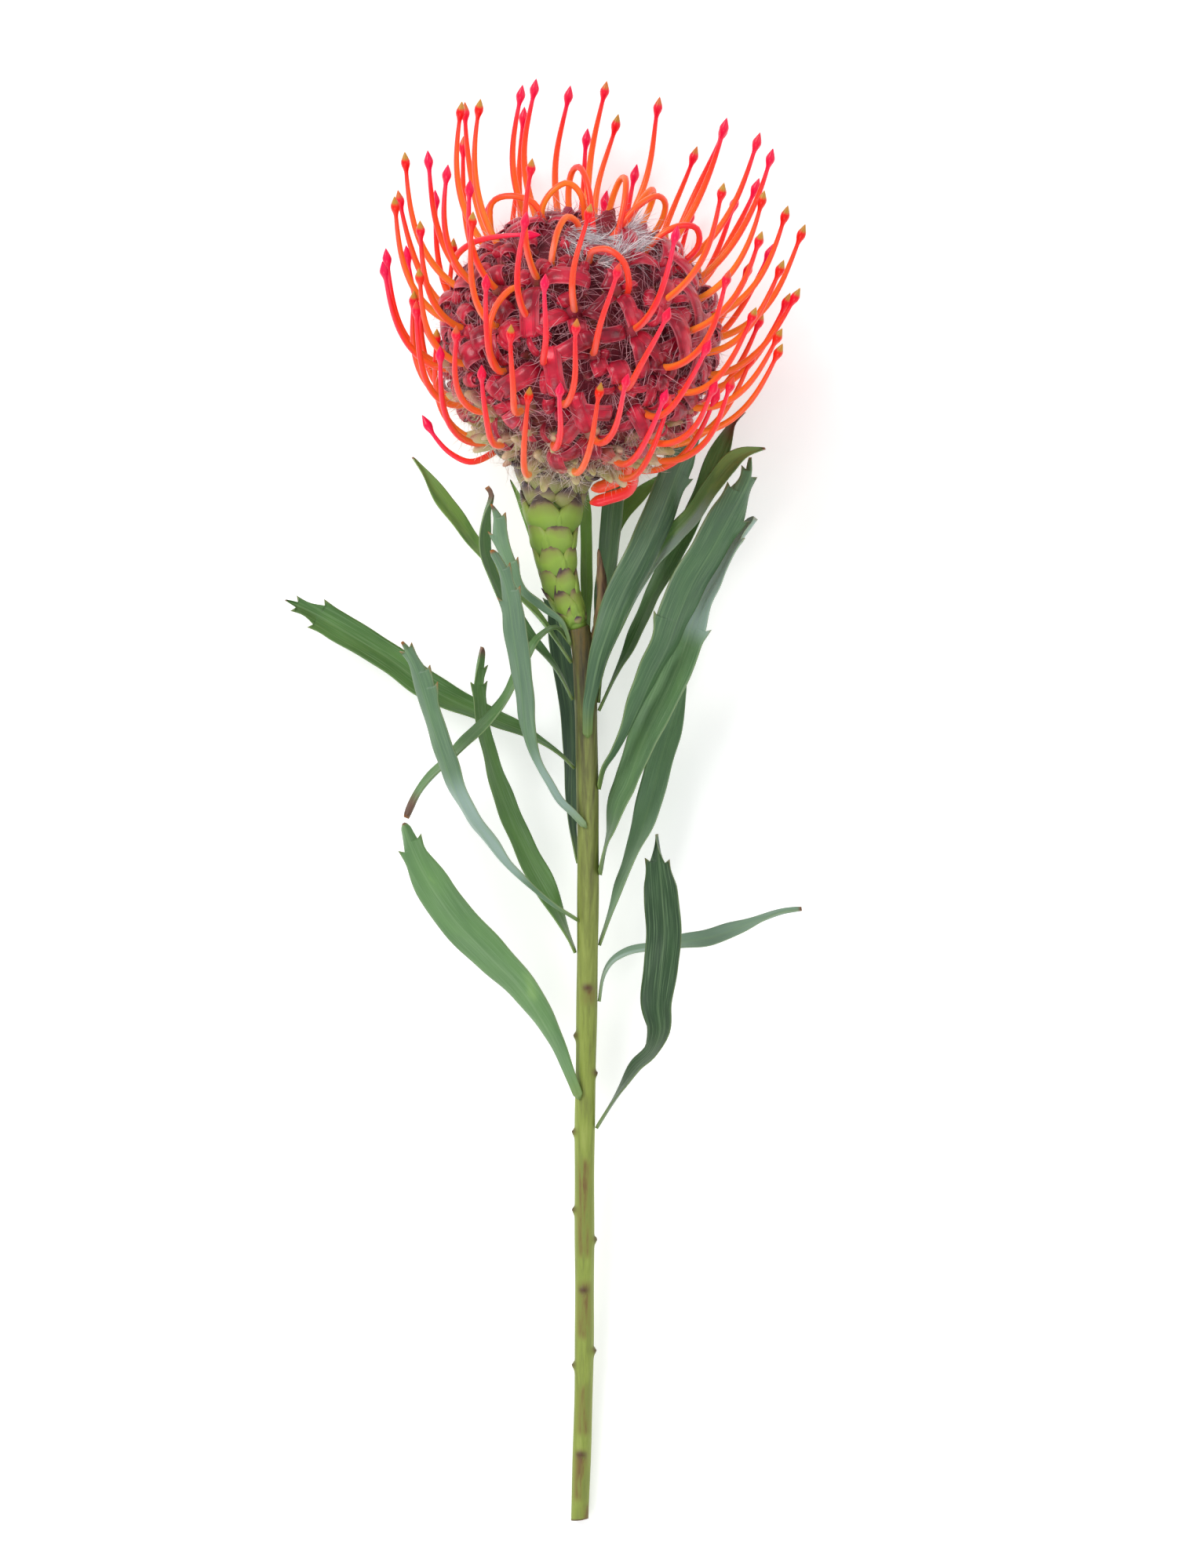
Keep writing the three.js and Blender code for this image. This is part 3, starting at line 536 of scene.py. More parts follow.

# %% [markdown]
# ## The core
# Under the florets is a woody cone. Hardly any of it shows, but it closes the gaps between the tubes,
# and its dark maroon is partly painted shade, for the shadow deep in those gaps.
# It could be a sphere; a loft keeps the source's flattened cone and its flat foot.
# Felt is a mat of short hairs: it has no shine, only a soft pale sheen where it turns away from the eye.
# A noise that reads Object coordinates has as its scale how many of its patches fit in a metre.

# %% Felted core
FUZZ_SCALE = 900.0  # patches of 1.1 mm, coarser than real felt, which wouldn't show
BLOTCH_SCALE = 120.0  # patches of 8 mm
felt, felt_tree, felt_shader = new_finish(
    "felted_cone", Roughness=0.9, Sheen_Weight=0.25, Sheen_Tint="#e8b8b0"
)
where = add_node(felt_tree, "ShaderNodeTexCoord").outputs["Object"]
fuzz = add_node(felt_tree, "ShaderNodeTexNoise", {"Vector": where, "Scale": FUZZ_SCALE, "Detail": 3.0})
blotch = add_node(felt_tree, "ShaderNodeTexNoise", {"Vector": where, "Scale": BLOTCH_SCALE, "Detail": 2.0})
# Dark maroon felt: partly painted shade, for the shadow in the gaps between the tubes.
felt_and_painted_shade_colour = add_node(
    felt_tree,
    "ShaderNodeValToRGB",
    {"Fac": blotch.outputs["Fac"]},
    stops=[(0.3, "#5a1424"), (0.5, "#7c2236"), (0.7, "#904a3c")],
)
felt_bump = add_node(
    felt_tree, "ShaderNodeBump", {"Height": fuzz.outputs["Fac"], "Strength": 0.8, "Distance": 0.0008}
)
felt_tree.links.new(felt_and_painted_shade_colour.outputs["Color"], felt_shader.inputs["Base Color"])
felt_tree.links.new(felt_bump.outputs["Normal"], felt_shader.inputs["Normal"])

CORE_SIDES, CORE_RINGS = 48, 30
CORE_SINK = 0.4  # how deep the core lies under the florets' feet, mm
foot_angle = math.degrees(math.acos(-FOOT / CORE_BOTTOM))
core_rings = [
    [core_point(polar, 2 * math.pi * j / CORE_SIDES, -CORE_SINK)[0] for j in range(CORE_SIDES)]
    for polar in np.linspace(foot_angle, 1, CORE_RINGS)
]
core = loft("floret_core", in_frame(core_rings))
core.data.materials.append(felt)
seat(core, "floret", "flower_head")

# %% [markdown]
# ## Floret tubes
# Each floret rises from the cone as a soft, hairy tube. Near the crown it is short and crimson, and hidden
# by the curls. At the foot it is long and cream and lies along the cone, pointing to the crown.
# Three tapered tubes are drawn once and dealt out to the seats, and their two colours are mixed by the
# floret's age, which grows from the crown to the foot. Down scatters light, so they are dull with a sheen.

# %% Tubes
def ring_xy(radius, sides, turn=0.0):
    angle = turn + np.arange(sides) * 2 * math.pi / sides
    return np.stack([np.cos(angle) * radius, np.sin(angle) * radius, np.zeros(sides)], 1)


def tube_shape(name, heights, radii, bend, sides=8):
    """An upright tapered tube in mm, bent a little towards +X."""
    rings = []
    for height, radius in zip(heights, radii):
        rings.append(ring_xy(radius, sides) + (bend * (height / heights[-1]) ** 2, 0, height))
    rings = np.array(rings)
    along = np.repeat(np.linspace(0, 1, len(heights)), sides)
    return loft(name, rings * MM, along=along)


tube_shapes = shape_set(
    "tube_shapes",
    [
        tube_shape("tube_short", [-3, -1, 1, 2.6, 3.6, 4.2], [2.9, 2.9, 2.3, 1.7, 1.3, 0.5], 0.5),
        tube_shape("tube_stout", [-3, -1, 1.2, 3, 4, 4.5], [3.3, 3.2, 2.5, 1.6, 1.0, 0.4], -0.8),
        tube_shape(
            "tube_z_long", [-4, -2, 0, 2.5, 5, 7, 8.4, 9.2], [0.8, 1.6, 2.0, 2.0, 1.8, 1.5, 1.1, 0.3], 2.2
        ),
    ],
)
LONG_TUBE = 2
LONG_FROM = 103  # degrees from the crown, from which the florets lie along the cone
CREAM_FROM, CREAM_TO = 88, 118  # and between which the tubes turn from crimson to cream
LEAN_OUT = (16, 42)  # the least and most that a long tube leans out of the cone, degrees
SKIRT_FROM = 122  # degrees from the crown, where the skirt of long tubes starts to show
BACK_HIGH, BACK_LOW = 3.5, 0.5  # how far back a long tube starts, above the skirt and at its edge, mm
LONG_SINK = 1.3  # how deep it starts in the cone, mm

PACKING = 230  # smaller tubes between the florets, which close the gaps
PACKING_HEIGHTS = (0.99, -0.9)  # cosines of the polar angles of the first and the last
PACKING_SIZES = (0.6, 0.95)
LOW_PACKING = 0.6  # how much smaller they are under the curls
PACKING_TURN = 1.1  # their spiral's turn from that of the florets, radians
packing = Draws(7)


def tube_seat(polar, azimuth, size):
    """A short tube stands on the cone, and a long one lies along it."""
    place, out, _ = core_point(polar, azimuth)
    age = smooth(polar, CREAM_FROM, CREAM_TO)
    if polar < LONG_FROM:
        return place, out, unit(np.cross(AXIS, out)), (size,) * 3, int(packing.next() * 2), age
    upward = unit(AXIS - (AXIS @ out) * out)
    lean_out = math.radians(lerp(*LEAN_OUT, packing.next()))
    along = upward * math.cos(lean_out) + out * math.sin(lean_out)
    back = lerp(BACK_HIGH, BACK_LOW, smooth(polar, SKIRT_FROM, SKIRT_ANGLE))
    sunk = place - back * upward - LONG_SINK * out
    return sunk, along, out, (size, size, size * 1.1), LONG_TUBE, age


tube_seats = [tube_seat(f["polar"], f["azimuth"], 1.0) for f in florets]
for k in range(PACKING):
    polar = math.degrees(math.acos(lerp(*PACKING_HEIGHTS, (k + packing.next()) / PACKING)))
    size = lerp(*PACKING_SIZES, packing.next()) * (LOW_PACKING if polar < LONG_FROM else 1)
    tube_seats.append(tube_seat(polar, k * GOLDEN + PACKING_TURN, size))

TUBE_PATCH_SCALE = 160.0  # patches of 6 mm
DOWN_SCALE = 1400.0  # patches of 0.7 mm, coarser than real down, which wouldn't show
tube_finish, tube_tree, tube_shader = new_finish(
    "downy_floret_tube", Roughness=0.75, Sheen_Weight=0.35, Sheen_Roughness=0.4, Sheen_Tint="#ffe4dc"
)
where = add_node(tube_tree, "ShaderNodeTexCoord").outputs["Object"]
age_in = add_node(tube_tree, "ShaderNodeAttribute", attribute_name="age")
along_in = add_node(tube_tree, "ShaderNodeAttribute", attribute_name="along")
cloud = add_node(tube_tree, "ShaderNodeTexNoise", {"Vector": where, "Scale": TUBE_PATCH_SCALE, "Detail": 3.0})
young = add_node(
    tube_tree,
    "ShaderNodeValToRGB",
    {"Fac": cloud.outputs["Fac"]},
    stops=[(0.3, "#86502e"), (0.42, "#94303c"), (0.58, "#a4203e"), (0.72, "#b4506a")],
)
old = add_node(
    tube_tree,
    "ShaderNodeValToRGB",
    {"Fac": cloud.outputs["Fac"]},
    stops=[(0.32, "#aaa150"), (0.46, "#d6cb94"), (0.58, "#dcc0a2"), (0.72, "#c07c6c")],
)
mixed = add_node(
    tube_tree,
    "ShaderNodeMix",
    {"Factor": age_in.outputs["Fac"], 6: young.outputs["Color"], 7: old.outputs["Color"]},
    data_type="RGBA",
)
down = add_node(tube_tree, "ShaderNodeTexNoise", {"Vector": where, "Scale": DOWN_SCALE, "Detail": 2.0})
tube_bump = add_node(
    tube_tree, "ShaderNodeBump", {"Height": down.outputs["Fac"], "Strength": 0.5, "Distance": 0.0004}
)
tube_tree.links.new(mixed.outputs[2], tube_shader.inputs["Base Color"])
tube_tree.links.new(tube_bump.outputs["Normal"], tube_shader.inputs["Normal"])

tubes = dress(
    seats("tube_seats", tube_seats),
    SEAT_SHAPES,
    "floret_tubes",
    Shapes=tube_shapes,
    Finish=tube_finish,
    Wobble=1.2 * MM,
    Wobble_size=140.0,
)
drop(tube_shapes)
seat(tubes, "floret", "flower_head")

# %% [markdown]
# ## Curled perianths
# When a floret opens, its four petals rise beside the style and roll back like wood shavings. They are
# deep crimson and satin: outside they have a broad soft shine and fine streaks, which are partly grain and
# partly painted satin sheen, and inside they are darker. A faint glow of their own colour is painted light
# that passes through them.
# A roll could be a bent cylinder, but a ribbon along a spiral has the real edges and the dark hole in it.
# Four ribbons are drawn, from broad to narrow. Each open floret gets four, one to each of its sides.

# %% Rolled ribbons
RIBBON_THICKNESS = 0.45  # at its middle line, mm
RIBBON_THINNING = 0.6  # the share of that which is gone at the edges
RIBBON_CUP = 0.5  # how far the edges lean in towards the roll's middle, mm
RIBBON_FOOT, RIBBON_TIP = 0.5, 0.3  # its half-width at each end, as a share
RIBBON_START = STYLE_RADIUS + 0.5
PATH_STEPS = 240


def rolled_ribbon(name, half, bends, skew, stations=20, columns=4):
    """A ribbon that rises beside the style and rolls over towards +X. A bend is a length in mm and a turn."""
    lengths, turns = np.array(bends, float).T
    ends = np.concatenate([[0], np.cumsum(lengths)])
    fine = np.linspace(0, ends[-1], PATH_STEPS)
    turned = np.interp(fine, ends, np.concatenate([[0], np.cumsum(turns)]))
    way = np.stack([np.sin(np.radians(turned)), 0 * turned, np.cos(np.radians(turned))], 1)
    path = (RIBBON_START, 0, 0) + np.cumsum(way, axis=0) * fine[1]
    measure = fine / fine[-1] + turned / turned[-1]
    distance = np.interp(np.linspace(0, 2, stations), measure, fine)
    t = distance / fine[-1]
    angle = np.radians(np.interp(distance, fine, turned))
    middle = np.stack([np.interp(distance, fine, path[:, k]) for k in range(3)], 1)
    away = np.stack([-np.cos(angle), 0 * angle, np.sin(angle)], 1)
    width = half * lerp(RIBBON_FOOT, 1, smooth(t, 0, 0.2)) * lerp(1, RIBBON_TIP, smooth(t, 0.85, 1))
    u = np.linspace(-1, 1, columns)
    cup = RIBBON_CUP * u**2
    thick = RIBBON_THICKNESS * (1 - RIBBON_THINNING * u**2)
    rings = []
    for k in range(stations):
        across = np.stack([0 * u, u * width[k] + skew * t[k], 0 * u], 1)
        outer = middle[k] + across - away[k] * cup[:, None]
        under = outer - away[k] * thick[:, None]
        rings.append(np.concatenate([outer, under[::-1]]))
    along = np.repeat(t, 2 * columns)
    edge = np.tile(np.abs(np.concatenate([u, u[::-1]])), stations)
    inner = np.tile(np.repeat([0.0, 1.0], columns), stations)
    return loft(name, np.array(rings) * MM, along=along, edge=edge, inner=inner)


curl_shapes = shape_set(
    "curl_shapes",
    [
        rolled_ribbon("curl_a_broad", 2.7, [(3.5, 10), (8, 150), (6.5, 190), (4.5, 200)], 0.8),
        rolled_ribbon("curl_b_strap", 2.3, [(3, 25), (5, 70), (8, 35), (4, 150), (4, 190)], -1.4),
        rolled_ribbon("curl_c_tight", 2.1, [(3, 10), (6, 170), (5.5, 220), (4, 250)], 1.2),
        rolled_ribbon("curl_d_narrow", 1.0, [(4, 15), (6, 100), (6, 120), (4, 200)], -0.8, columns=3),
    ],
)

BROAD, STRAP, TIGHT, NARROW = range(4)
CURLS_TO = 122  # degrees from the crown, beyond which the florets have hardly opened
CURL_SINK = 0.3  # how deep a roll starts in the cone, mm
BEHIND_SINK = 2  # how much deeper the rolls behind the crown lie, mm
BEHIND_SHRINK = 0.25  # the share by which those are smaller
SIZE_AT_CROWN, SIZE_IN_FULL, SIZE_AT_FOOT = 0.62, 1.04, 0.75
TURN_SHARE = 0.65  # how much of the floret's own turn its first roll takes
ACROSS_SIZE, BESIDE_SIZE = 0.88, 0.85  # the sizes of the other three to the first
ACROSS_SPREAD, BESIDE_SPREAD = 1.1, 0.6  # and how far they may be turned off square, radians
curl_draws = Draws(19)
curl_seats = []


def curl_seat(polar, azimuth, turn, size, kind):
    """A roll on the cone that is turned about its floret, from the level direction."""
    behind = smooth(-math.sin(azimuth), 0.2, 0.7) * (1 - smooth(polar, 50, 75))
    place, out, _ = core_point(polar, azimuth, -CURL_SINK - BEHIND_SINK * behind)
    level = unit(np.cross(AXIS, out))
    roll = level * math.cos(turn) + np.cross(out, level) * math.sin(turn)
    return place, out, roll, (size * (1 - BEHIND_SHRINK * behind),) * 3, kind, smooth(polar, 110, 130)


def one_of(kinds):
    return kinds[int(curl_draws.next() * len(kinds))]


for floret in florets:
    polar, azimuth = floret["polar"], floret["azimuth"]
    if polar > CURLS_TO:
        continue
    up_or_down = math.pi / 2 if curl_draws.next() < 0.5 else -math.pi / 2
    turn = up_or_down + floret["curl_turn"] * TURN_SHARE
    grown = lerp(SIZE_AT_CROWN, SIZE_IN_FULL, smooth(polar, CROWN_ANGLE, 34))
    size = floret["curl_size"] * grown * lerp(1, SIZE_AT_FOOT, smooth(polar, 104, CURLS_TO))
    curl_seats.append(curl_seat(polar, azimuth, turn, size, one_of([BROAD, BROAD, STRAP, STRAP, TIGHT])))
    across = turn + math.pi + curl_draws.spread(ACROSS_SPREAD)
    curl_seats.append(curl_seat(polar, azimuth, across, size * ACROSS_SIZE, one_of([STRAP, TIGHT, BROAD])))
    for side in (-math.pi / 2, math.pi / 2):
        beside = turn + side + curl_draws.spread(BESIDE_SPREAD)
        kind = one_of([NARROW, TIGHT, STRAP])
        curl_seats.append(curl_seat(polar, azimuth, beside, size * BESIDE_SIZE, kind))

SATIN_PATCH_SCALE = 95.0  # patches of 10 mm
GRAIN_SCALE = 1100.0  # patches of 0.9 mm
STREAKS = (7.0, 2.2, 1.0)  # streaks to a half-width, and to the ribbon's length
satin, satin_tree, satin_shader = new_finish(
    "satin_perianth",
    Roughness=0.3,
    Sheen_Weight=0.12,
    Sheen_Roughness=0.35,
    Sheen_Tint="#ffd0d6",
    Subsurface_Weight=0.15,
    Subsurface_Radius=(1.0, 0.25, 0.2),
    Subsurface_Scale=0.001,
    Emission_Strength=0.05,
)
where = add_node(satin_tree, "ShaderNodeTexCoord").outputs["Object"]
patches = add_node(
    satin_tree,
    "ShaderNodeTexNoise",
    {"Vector": where, "Scale": SATIN_PATCH_SCALE, "Detail": 3.0, "Roughness": 0.6},
)
crimson = add_node(
    satin_tree,
    "ShaderNodeValToRGB",
    {"Fac": patches.outputs["Fac"]},
    stops=[(0.3, "#6c0a22"), (0.43, "#a01230"), (0.55, "#c81e3e"), (0.66, "#d82c46"), (0.78, "#b85068")],
)
PETAL_VALUES = ("edge", "inner", "age", "along")
edge_in, inner_in, age_in, along_in = (
    add_node(satin_tree, "ShaderNodeAttribute", attribute_name=name) for name in PETAL_VALUES
)
rim = add_node(
    satin_tree,
    "ShaderNodeMapRange",
    {"Value": edge_in.outputs["Fac"], "From Min": 0.82, "From Max": 1.0, "To Max": 0.55},
)
inside = add_node(satin_tree, "ShaderNodeMath", {0: inner_in.outputs["Fac"], 1: 0.75}, operation="MULTIPLY")
fade = add_node(satin_tree, "ShaderNodeMath", {0: age_in.outputs["Fac"], 1: 0.6}, operation="MULTIPLY")
PALE_RIM, DARK_INSIDE, FADED = "#d87a86", "#8a4056", "#c09a74"
petal_colour = crimson.outputs["Color"]
for share, code in (
    (rim.outputs["Result"], PALE_RIM),
    (inside.outputs[0], DARK_INSIDE),
    (fade.outputs[0], FADED),
):
    layer = {"Factor": share, 6: petal_colour, 7: code}
    petal_colour = add_node(satin_tree, "ShaderNodeMix", layer, data_type="RGBA").outputs[2]
# Lighter and darker streaks along the ribbon: partly fine grain, partly painted satin sheen.
on_ribbon = add_node(
    satin_tree, "ShaderNodeCombineXYZ", {"X": edge_in.outputs["Fac"], "Y": along_in.outputs["Fac"]}
)
drawn_out = add_node(satin_tree, "ShaderNodeMapping", {"Vector": on_ribbon.outputs[0], "Scale": STREAKS})
streaks = add_node(
    satin_tree, "ShaderNodeTexNoise", {"Vector": drawn_out.outputs[0], "Scale": 1.0, "Detail": 3.0}
)
grain_and_sheen_light = add_node(
    satin_tree,
    "ShaderNodeMapRange",
    {"Value": streaks.outputs["Fac"], "From Min": 0.36, "From Max": 0.64, "To Min": 0.62, "To Max": 1.2},
)
grain_and_sheen_colour = add_node(
    satin_tree,
    "ShaderNodeHueSaturation",
    {"Color": petal_colour, "Value": grain_and_sheen_light.outputs["Result"], "Saturation": 1.0, "Hue": 0.5},
)
grain = add_node(satin_tree, "ShaderNodeTexNoise", {"Vector": where, "Scale": GRAIN_SCALE, "Detail": 2.0})
satin_bump = add_node(
    satin_tree, "ShaderNodeBump", {"Height": grain.outputs["Fac"], "Strength": 0.35, "Distance": 0.0003}
)
satin_tree.links.new(grain_and_sheen_colour.outputs["Color"], satin_shader.inputs["Base Color"])
# The petals' faint glow in their own colour is painted light, for light that passes through them.
satin_tree.links.new(grain_and_sheen_colour.outputs["Color"], satin_shader.inputs["Emission Color"])
satin_tree.links.new(satin_bump.outputs["Normal"], satin_shader.inputs["Normal"])

curls = dress(
    seats("curl_seats", curl_seats),
    SEAT_SHAPES,
    "curled_perianths",
    Shapes=curl_shapes,
    Finish=satin,
    Wobble=1.8 * MM,
    Wobble_size=90.0,
)
drop(curl_shapes)
seat(curls, "floret", "flower_head")

# %% [markdown]
# ## Styles
# The styles are the pins of the pincushion: waxy rods, olive at the root, orange to red along the shaft,
# with a pink-red swelling near the end that holds the pollen. The side that faces the middle of the head is
# more orange, its own colour, and lighter, which is painted light that passes through it. Wax gives them a
# faint shine, and a painted highlight lies pale on the outer side near the root.
# They are thin enough to let light through, which a little light of their own colour stands in for.
# Each style is a path with a radius at every point, and Geometry Nodes sweep a circle along all the paths.
# A tree could also draw the paths, but they must agree with the source's, so the same rule works them out.

# %% The paths of the styles
TOUCH = 2  # the height at which a style starts to bend away from the surface, mm
ROOT_DEPTH = 1.5  # how deep a style starts in the core, mm
STYLE_POINTS = 8
SUBSTEPS = 40


def lift_off(point):
    """Bends a style away from the surface that the head lies on."""
    lowest = STYLE_RADIUS
    if point[2] < lowest + TOUCH:
        point = point.copy()
        point[2] = lowest + TOUCH * math.exp((point[2] - lowest) / TOUCH - 1)
    return point


def style_path(floret):
    """A style leaves square to the core and bends up towards the head's axis."""
    place, out, around = core_point(floret["polar"], floret["azimuth"])
    polar = floret["polar"]
    start = min(math.degrees(math.acos(out @ AXIS)), 106)
    flare = lerp(3, 15, smooth(polar, 50, 90))
    end = lerp(flare, 8, smooth(polar, 105, 140)) + floret["lean"]
    bend = lerp(1.8, 2.6, smooth(polar, 50, 100))
    beside = np.cross(AXIS, around)
    points = [place - ROOT_DEPTH * out, place]
    point = place
    for k in range(1, SUBSTEPS + 1):
        t = (k - 0.5) / SUBSTEPS
        angle = math.radians(lerp(end, start, (1 - t) ** bend))
        way = around * math.sin(angle) + AXIS * math.cos(angle)
        way = way + beside * math.sin(2 * math.pi * t) * floret["sway"]
        point = point + way * floret["length"] / SUBSTEPS
        if k % (SUBSTEPS // STYLE_POINTS) == 0:
            points.append(lift_off(point))
    return points


STRAYS = [
    [[-17, 139, 49], [-23.5, 146.5, 52.5], [-19, 151.3, 59], [-10, 153, 65.5], [-0.6, 153.1, 68.5]],
    [[-9, 101, 35], [-14, 96.4, 37], [-19.5, 94.3, 38.5], [-24.8, 96.6, 39], [-28.8, 100.8, 39.5],
     [-32.3, 106.7, 40]],
]
FOLDED = [
    [[20, 97, 38], [24, 91.5, 38.5], [22.5, 86.8, 38], [17, 84.6, 37], [12.4, 83.4, 36]],
    [[19, 99, 41], [22.5, 94.6, 42], [21, 90.3, 41.5], [16.5, 88, 40], [12.8, 87, 38.5]],
]
ARCHES = [
    [[-12.5, 149, 45], [-14.1, 157, 48], [-13.7, 162.5, 50], [-9.9, 164.3, 52], [-2.7, 162.5, 53],
     [1.5, 154, 50]],
    [[-0.5, 154, 49], [0, 162, 53], [3.4, 166.3, 54.5], [6.5, 167.6, 54.5], [9.7, 165, 54], [11.5, 155, 50]],
    [[26, 148, 54], [31, 153.5, 59], [36, 156, 59], [40.5, 155.5, 56], [41, 151, 52.5], [34, 144, 51]],
    [[2.2, 144, 65], [2.5, 148, 72.5], [4.2, 154.8, 70], [6.5, 158, 66], [9, 156.5, 63], [9.5, 151.5, 58]],
    [[12, 146, 65], [13.3, 148.7, 72.5], [17.4, 148.7, 76], [21.2, 145.5, 76], [22.6, 140, 74],
     [21.5, 136, 66]],
    [[-5.5, 139, 65], [-8.5, 138.5, 73], [-12, 134.5, 75.5], [-14, 129, 76], [-14, 122.5, 74],
     [-11.5, 117, 66]],
]


ARCH_STEPS = [(0, -3), (1, 7), (4, 11), (8.5, 11.5), (12, 7), (13, -4)]  # across and out of the cone, mm


def crown_arch(floret):
    """The arch of a style at the back of the crown whose tip is still held."""
    place, out, _ = core_point(floret["polar"], floret["azimuth"])
    level = unit(np.cross(AXIS, out))
    turn = math.pi / 2 + floret["curl_turn"] / 3
    across = level * math.cos(turn) + np.cross(out, level) * math.sin(turn)
    return [place + (across * a + out * h) * floret["curl_size"] for a, h in ARCH_STEPS]


free_styles = [Line(style_path(f)) for f in florets if f["index"] >= IN_BUD]
free_styles += [Line(points) for points in STRAYS]
arched_styles = [Line(points) for points in ARCHES]
at_back = [f for f in florets if f["index"] < IN_BUD and math.sin(f["azimuth"]) < -0.5]
arched_styles += [Line(crown_arch(f)) for f in at_back]
folded_styles = [Line(points) for points in FOLDED]
print("free, arched and folded styles:", len(free_styles), len(arched_styles), len(folded_styles))

# %% Radii along a style
ROOT_RADIUS = 0.95
NECK_RADIUS = 0.56
SHAFT_STATIONS = 24
TIP_PROFILE = [  # distance back from the end, and radius, mm
    (6.2, 0.56),
    (5.4, 0.63),
    (4.7, 0.82),
    (4.0, 1.08),
    (3.3, 1.24),
    (2.7, 1.22),
    (2.1, 1.02),
    (1.5, 0.77),
    (0.95, 0.53),
    (0.4, 0.28),
    (0.0, 0.08),
]
TIP_LENGTH = TIP_PROFILE[0][0]
SHAFT_COLOURS = 0.8  # where along the colours the shaft ends and the tip begins


def open_stations(line):
    """Places along a free style, with the radius and a colour place at each."""
    neck = 1 - TIP_LENGTH / line.length
    t = np.linspace(0, neck, SHAFT_STATIONS)[:-1]
    shaft = lerp(ROOT_RADIUS, NECK_RADIUS, (t / neck) ** 2.2)
    tip = np.array(TIP_PROFILE)
    t = np.concatenate([t, 1 - tip[:, 0] / line.length])
    radius = np.concatenate([shaft, tip[:, 1]])
    on_tip = lerp(SHAFT_COLOURS, 1, (t - neck) / (1 - neck))
    colour = np.where(t < neck, SHAFT_COLOURS * t / neck, on_tip)
    return t, radius, colour


def arched_stations(line):
    """Both ends of an arch are held in the head, so only the shaft and its colours show."""
    t = np.linspace(0, 1, SHAFT_STATIONS)
    return t, np.full(len(t), STYLE_RADIUS), 0.1 + 0.62 * t


def folded_stations(line):
    """A floret that is still shut and lies folded down at the foot, thick as a bud."""
    t = np.linspace(0, 1, SHAFT_STATIONS)
    radius = lerp(0.9, 1.65, smooth(t, 0.15, 0.5)) * np.sqrt(np.minimum(1, (1 - t) * 9 + 0.08))
    return t, radius, 0.2 + 0.3 * t


def style_lines(name, kinds):
    """One mesh of open chains with the tree's values at each point. Kinds are pairs of a rule and lines."""
    places, edges, thick, colour, outward, shade = [], [], [], [], [], []
    draws = Draws(23)
    for stations, lines in kinds:
        for line in lines:
            t, radius, place = stations(line)
            points = line.at(t)
            points[:, 2] = np.maximum(points[:, 2], radius * 0.9)
            first = len(places)
            places.extend(points)
            edges.extend((first + k, first + k + 1) for k in range(len(t) - 1))
            thick.extend(radius * MM)
            colour.extend(place)
            from_axis = points - HEAD_CENTRE
            outward.extend(unit(from_axis - np.outer(from_axis @ AXIS, AXIS)))
            shade.extend([draws.next()] * len(t))
    values = {"thick": thick, "along": colour, "outward": outward, "shade": shade}
    return new_piece(name, in_frame(places), [], edges, **values)


STYLE_KINDS = [
    (open_stations, free_styles),
    (arched_stations, arched_styles),
    (folded_stations, folded_styles),
]
print("a style narrows from", ROOT_RADIUS, "to", NECK_RADIUS, "mm, and its tip is", TIP_LENGTH, "mm long")


# %% A tree that sweeps the styles
def sweep_tree():
    tree, given, out = new_tree("sweep_styles", Finish="Material", Sides="Int")
    curves = add_node(tree, "GeometryNodeMeshToCurve", {"Mesh": given["Geometry"]})
    circle = add_node(tree, "GeometryNodeCurvePrimitiveCircle", {"Resolution": given["Sides"], "Radius": 1.0})
    swept = add_node(
        tree,
        "GeometryNodeCurveToMesh",
        {
            "Curve": curves.outputs[0],
            "Profile Curve": circle.outputs[0],
            "Scale": attribute(tree, "thick", "FLOAT"),
            "Fill Caps": True,
        },
    )
    normal = add_node(tree, "GeometryNodeInputNormal").outputs[0]
    facing = {0: normal, 1: attribute(tree, "outward")}
    dot = add_node(tree, "ShaderNodeVectorMath", facing, operation="DOT_PRODUCT").outputs["Value"]
    kept = {"Geometry": swept.outputs[0], "Name": "facing", "Value": dot}
    stored = add_node(tree, "GeometryNodeStoreNamedAttribute", kept, data_type="FLOAT")
    end_tree(tree, stored.outputs[0], given, out)
    return tree


waxy, waxy_tree, waxy_shader = new_finish(
    "waxy_style",
    Roughness=0.35,
    Specular_IOR_Level=0.3,
    Coat_Weight=0.2,
    Coat_Roughness=0.12,
    Subsurface_Weight=0.3,
    Subsurface_Scale=0.002,
    Emission_Strength=0.16,
)
along_in, facing_in, shade_in = (
    add_node(waxy_tree, "ShaderNodeAttribute", attribute_name=name) for name in ("along", "facing", "shade")
)
outer_side = add_node(
    waxy_tree,
    "ShaderNodeValToRGB",
    {"Fac": along_in.outputs["Fac"]},
    stops=[
        (0.0, "#c4aa40"),
        (0.06, "#ee7c34"),
        (0.16, "#f4502c"),
        (0.6, "#f0382c"),
        (0.8, "#ee2238"),
        (0.86, "#ea0430"),
        (1.0, "#e40c34"),
    ],
)
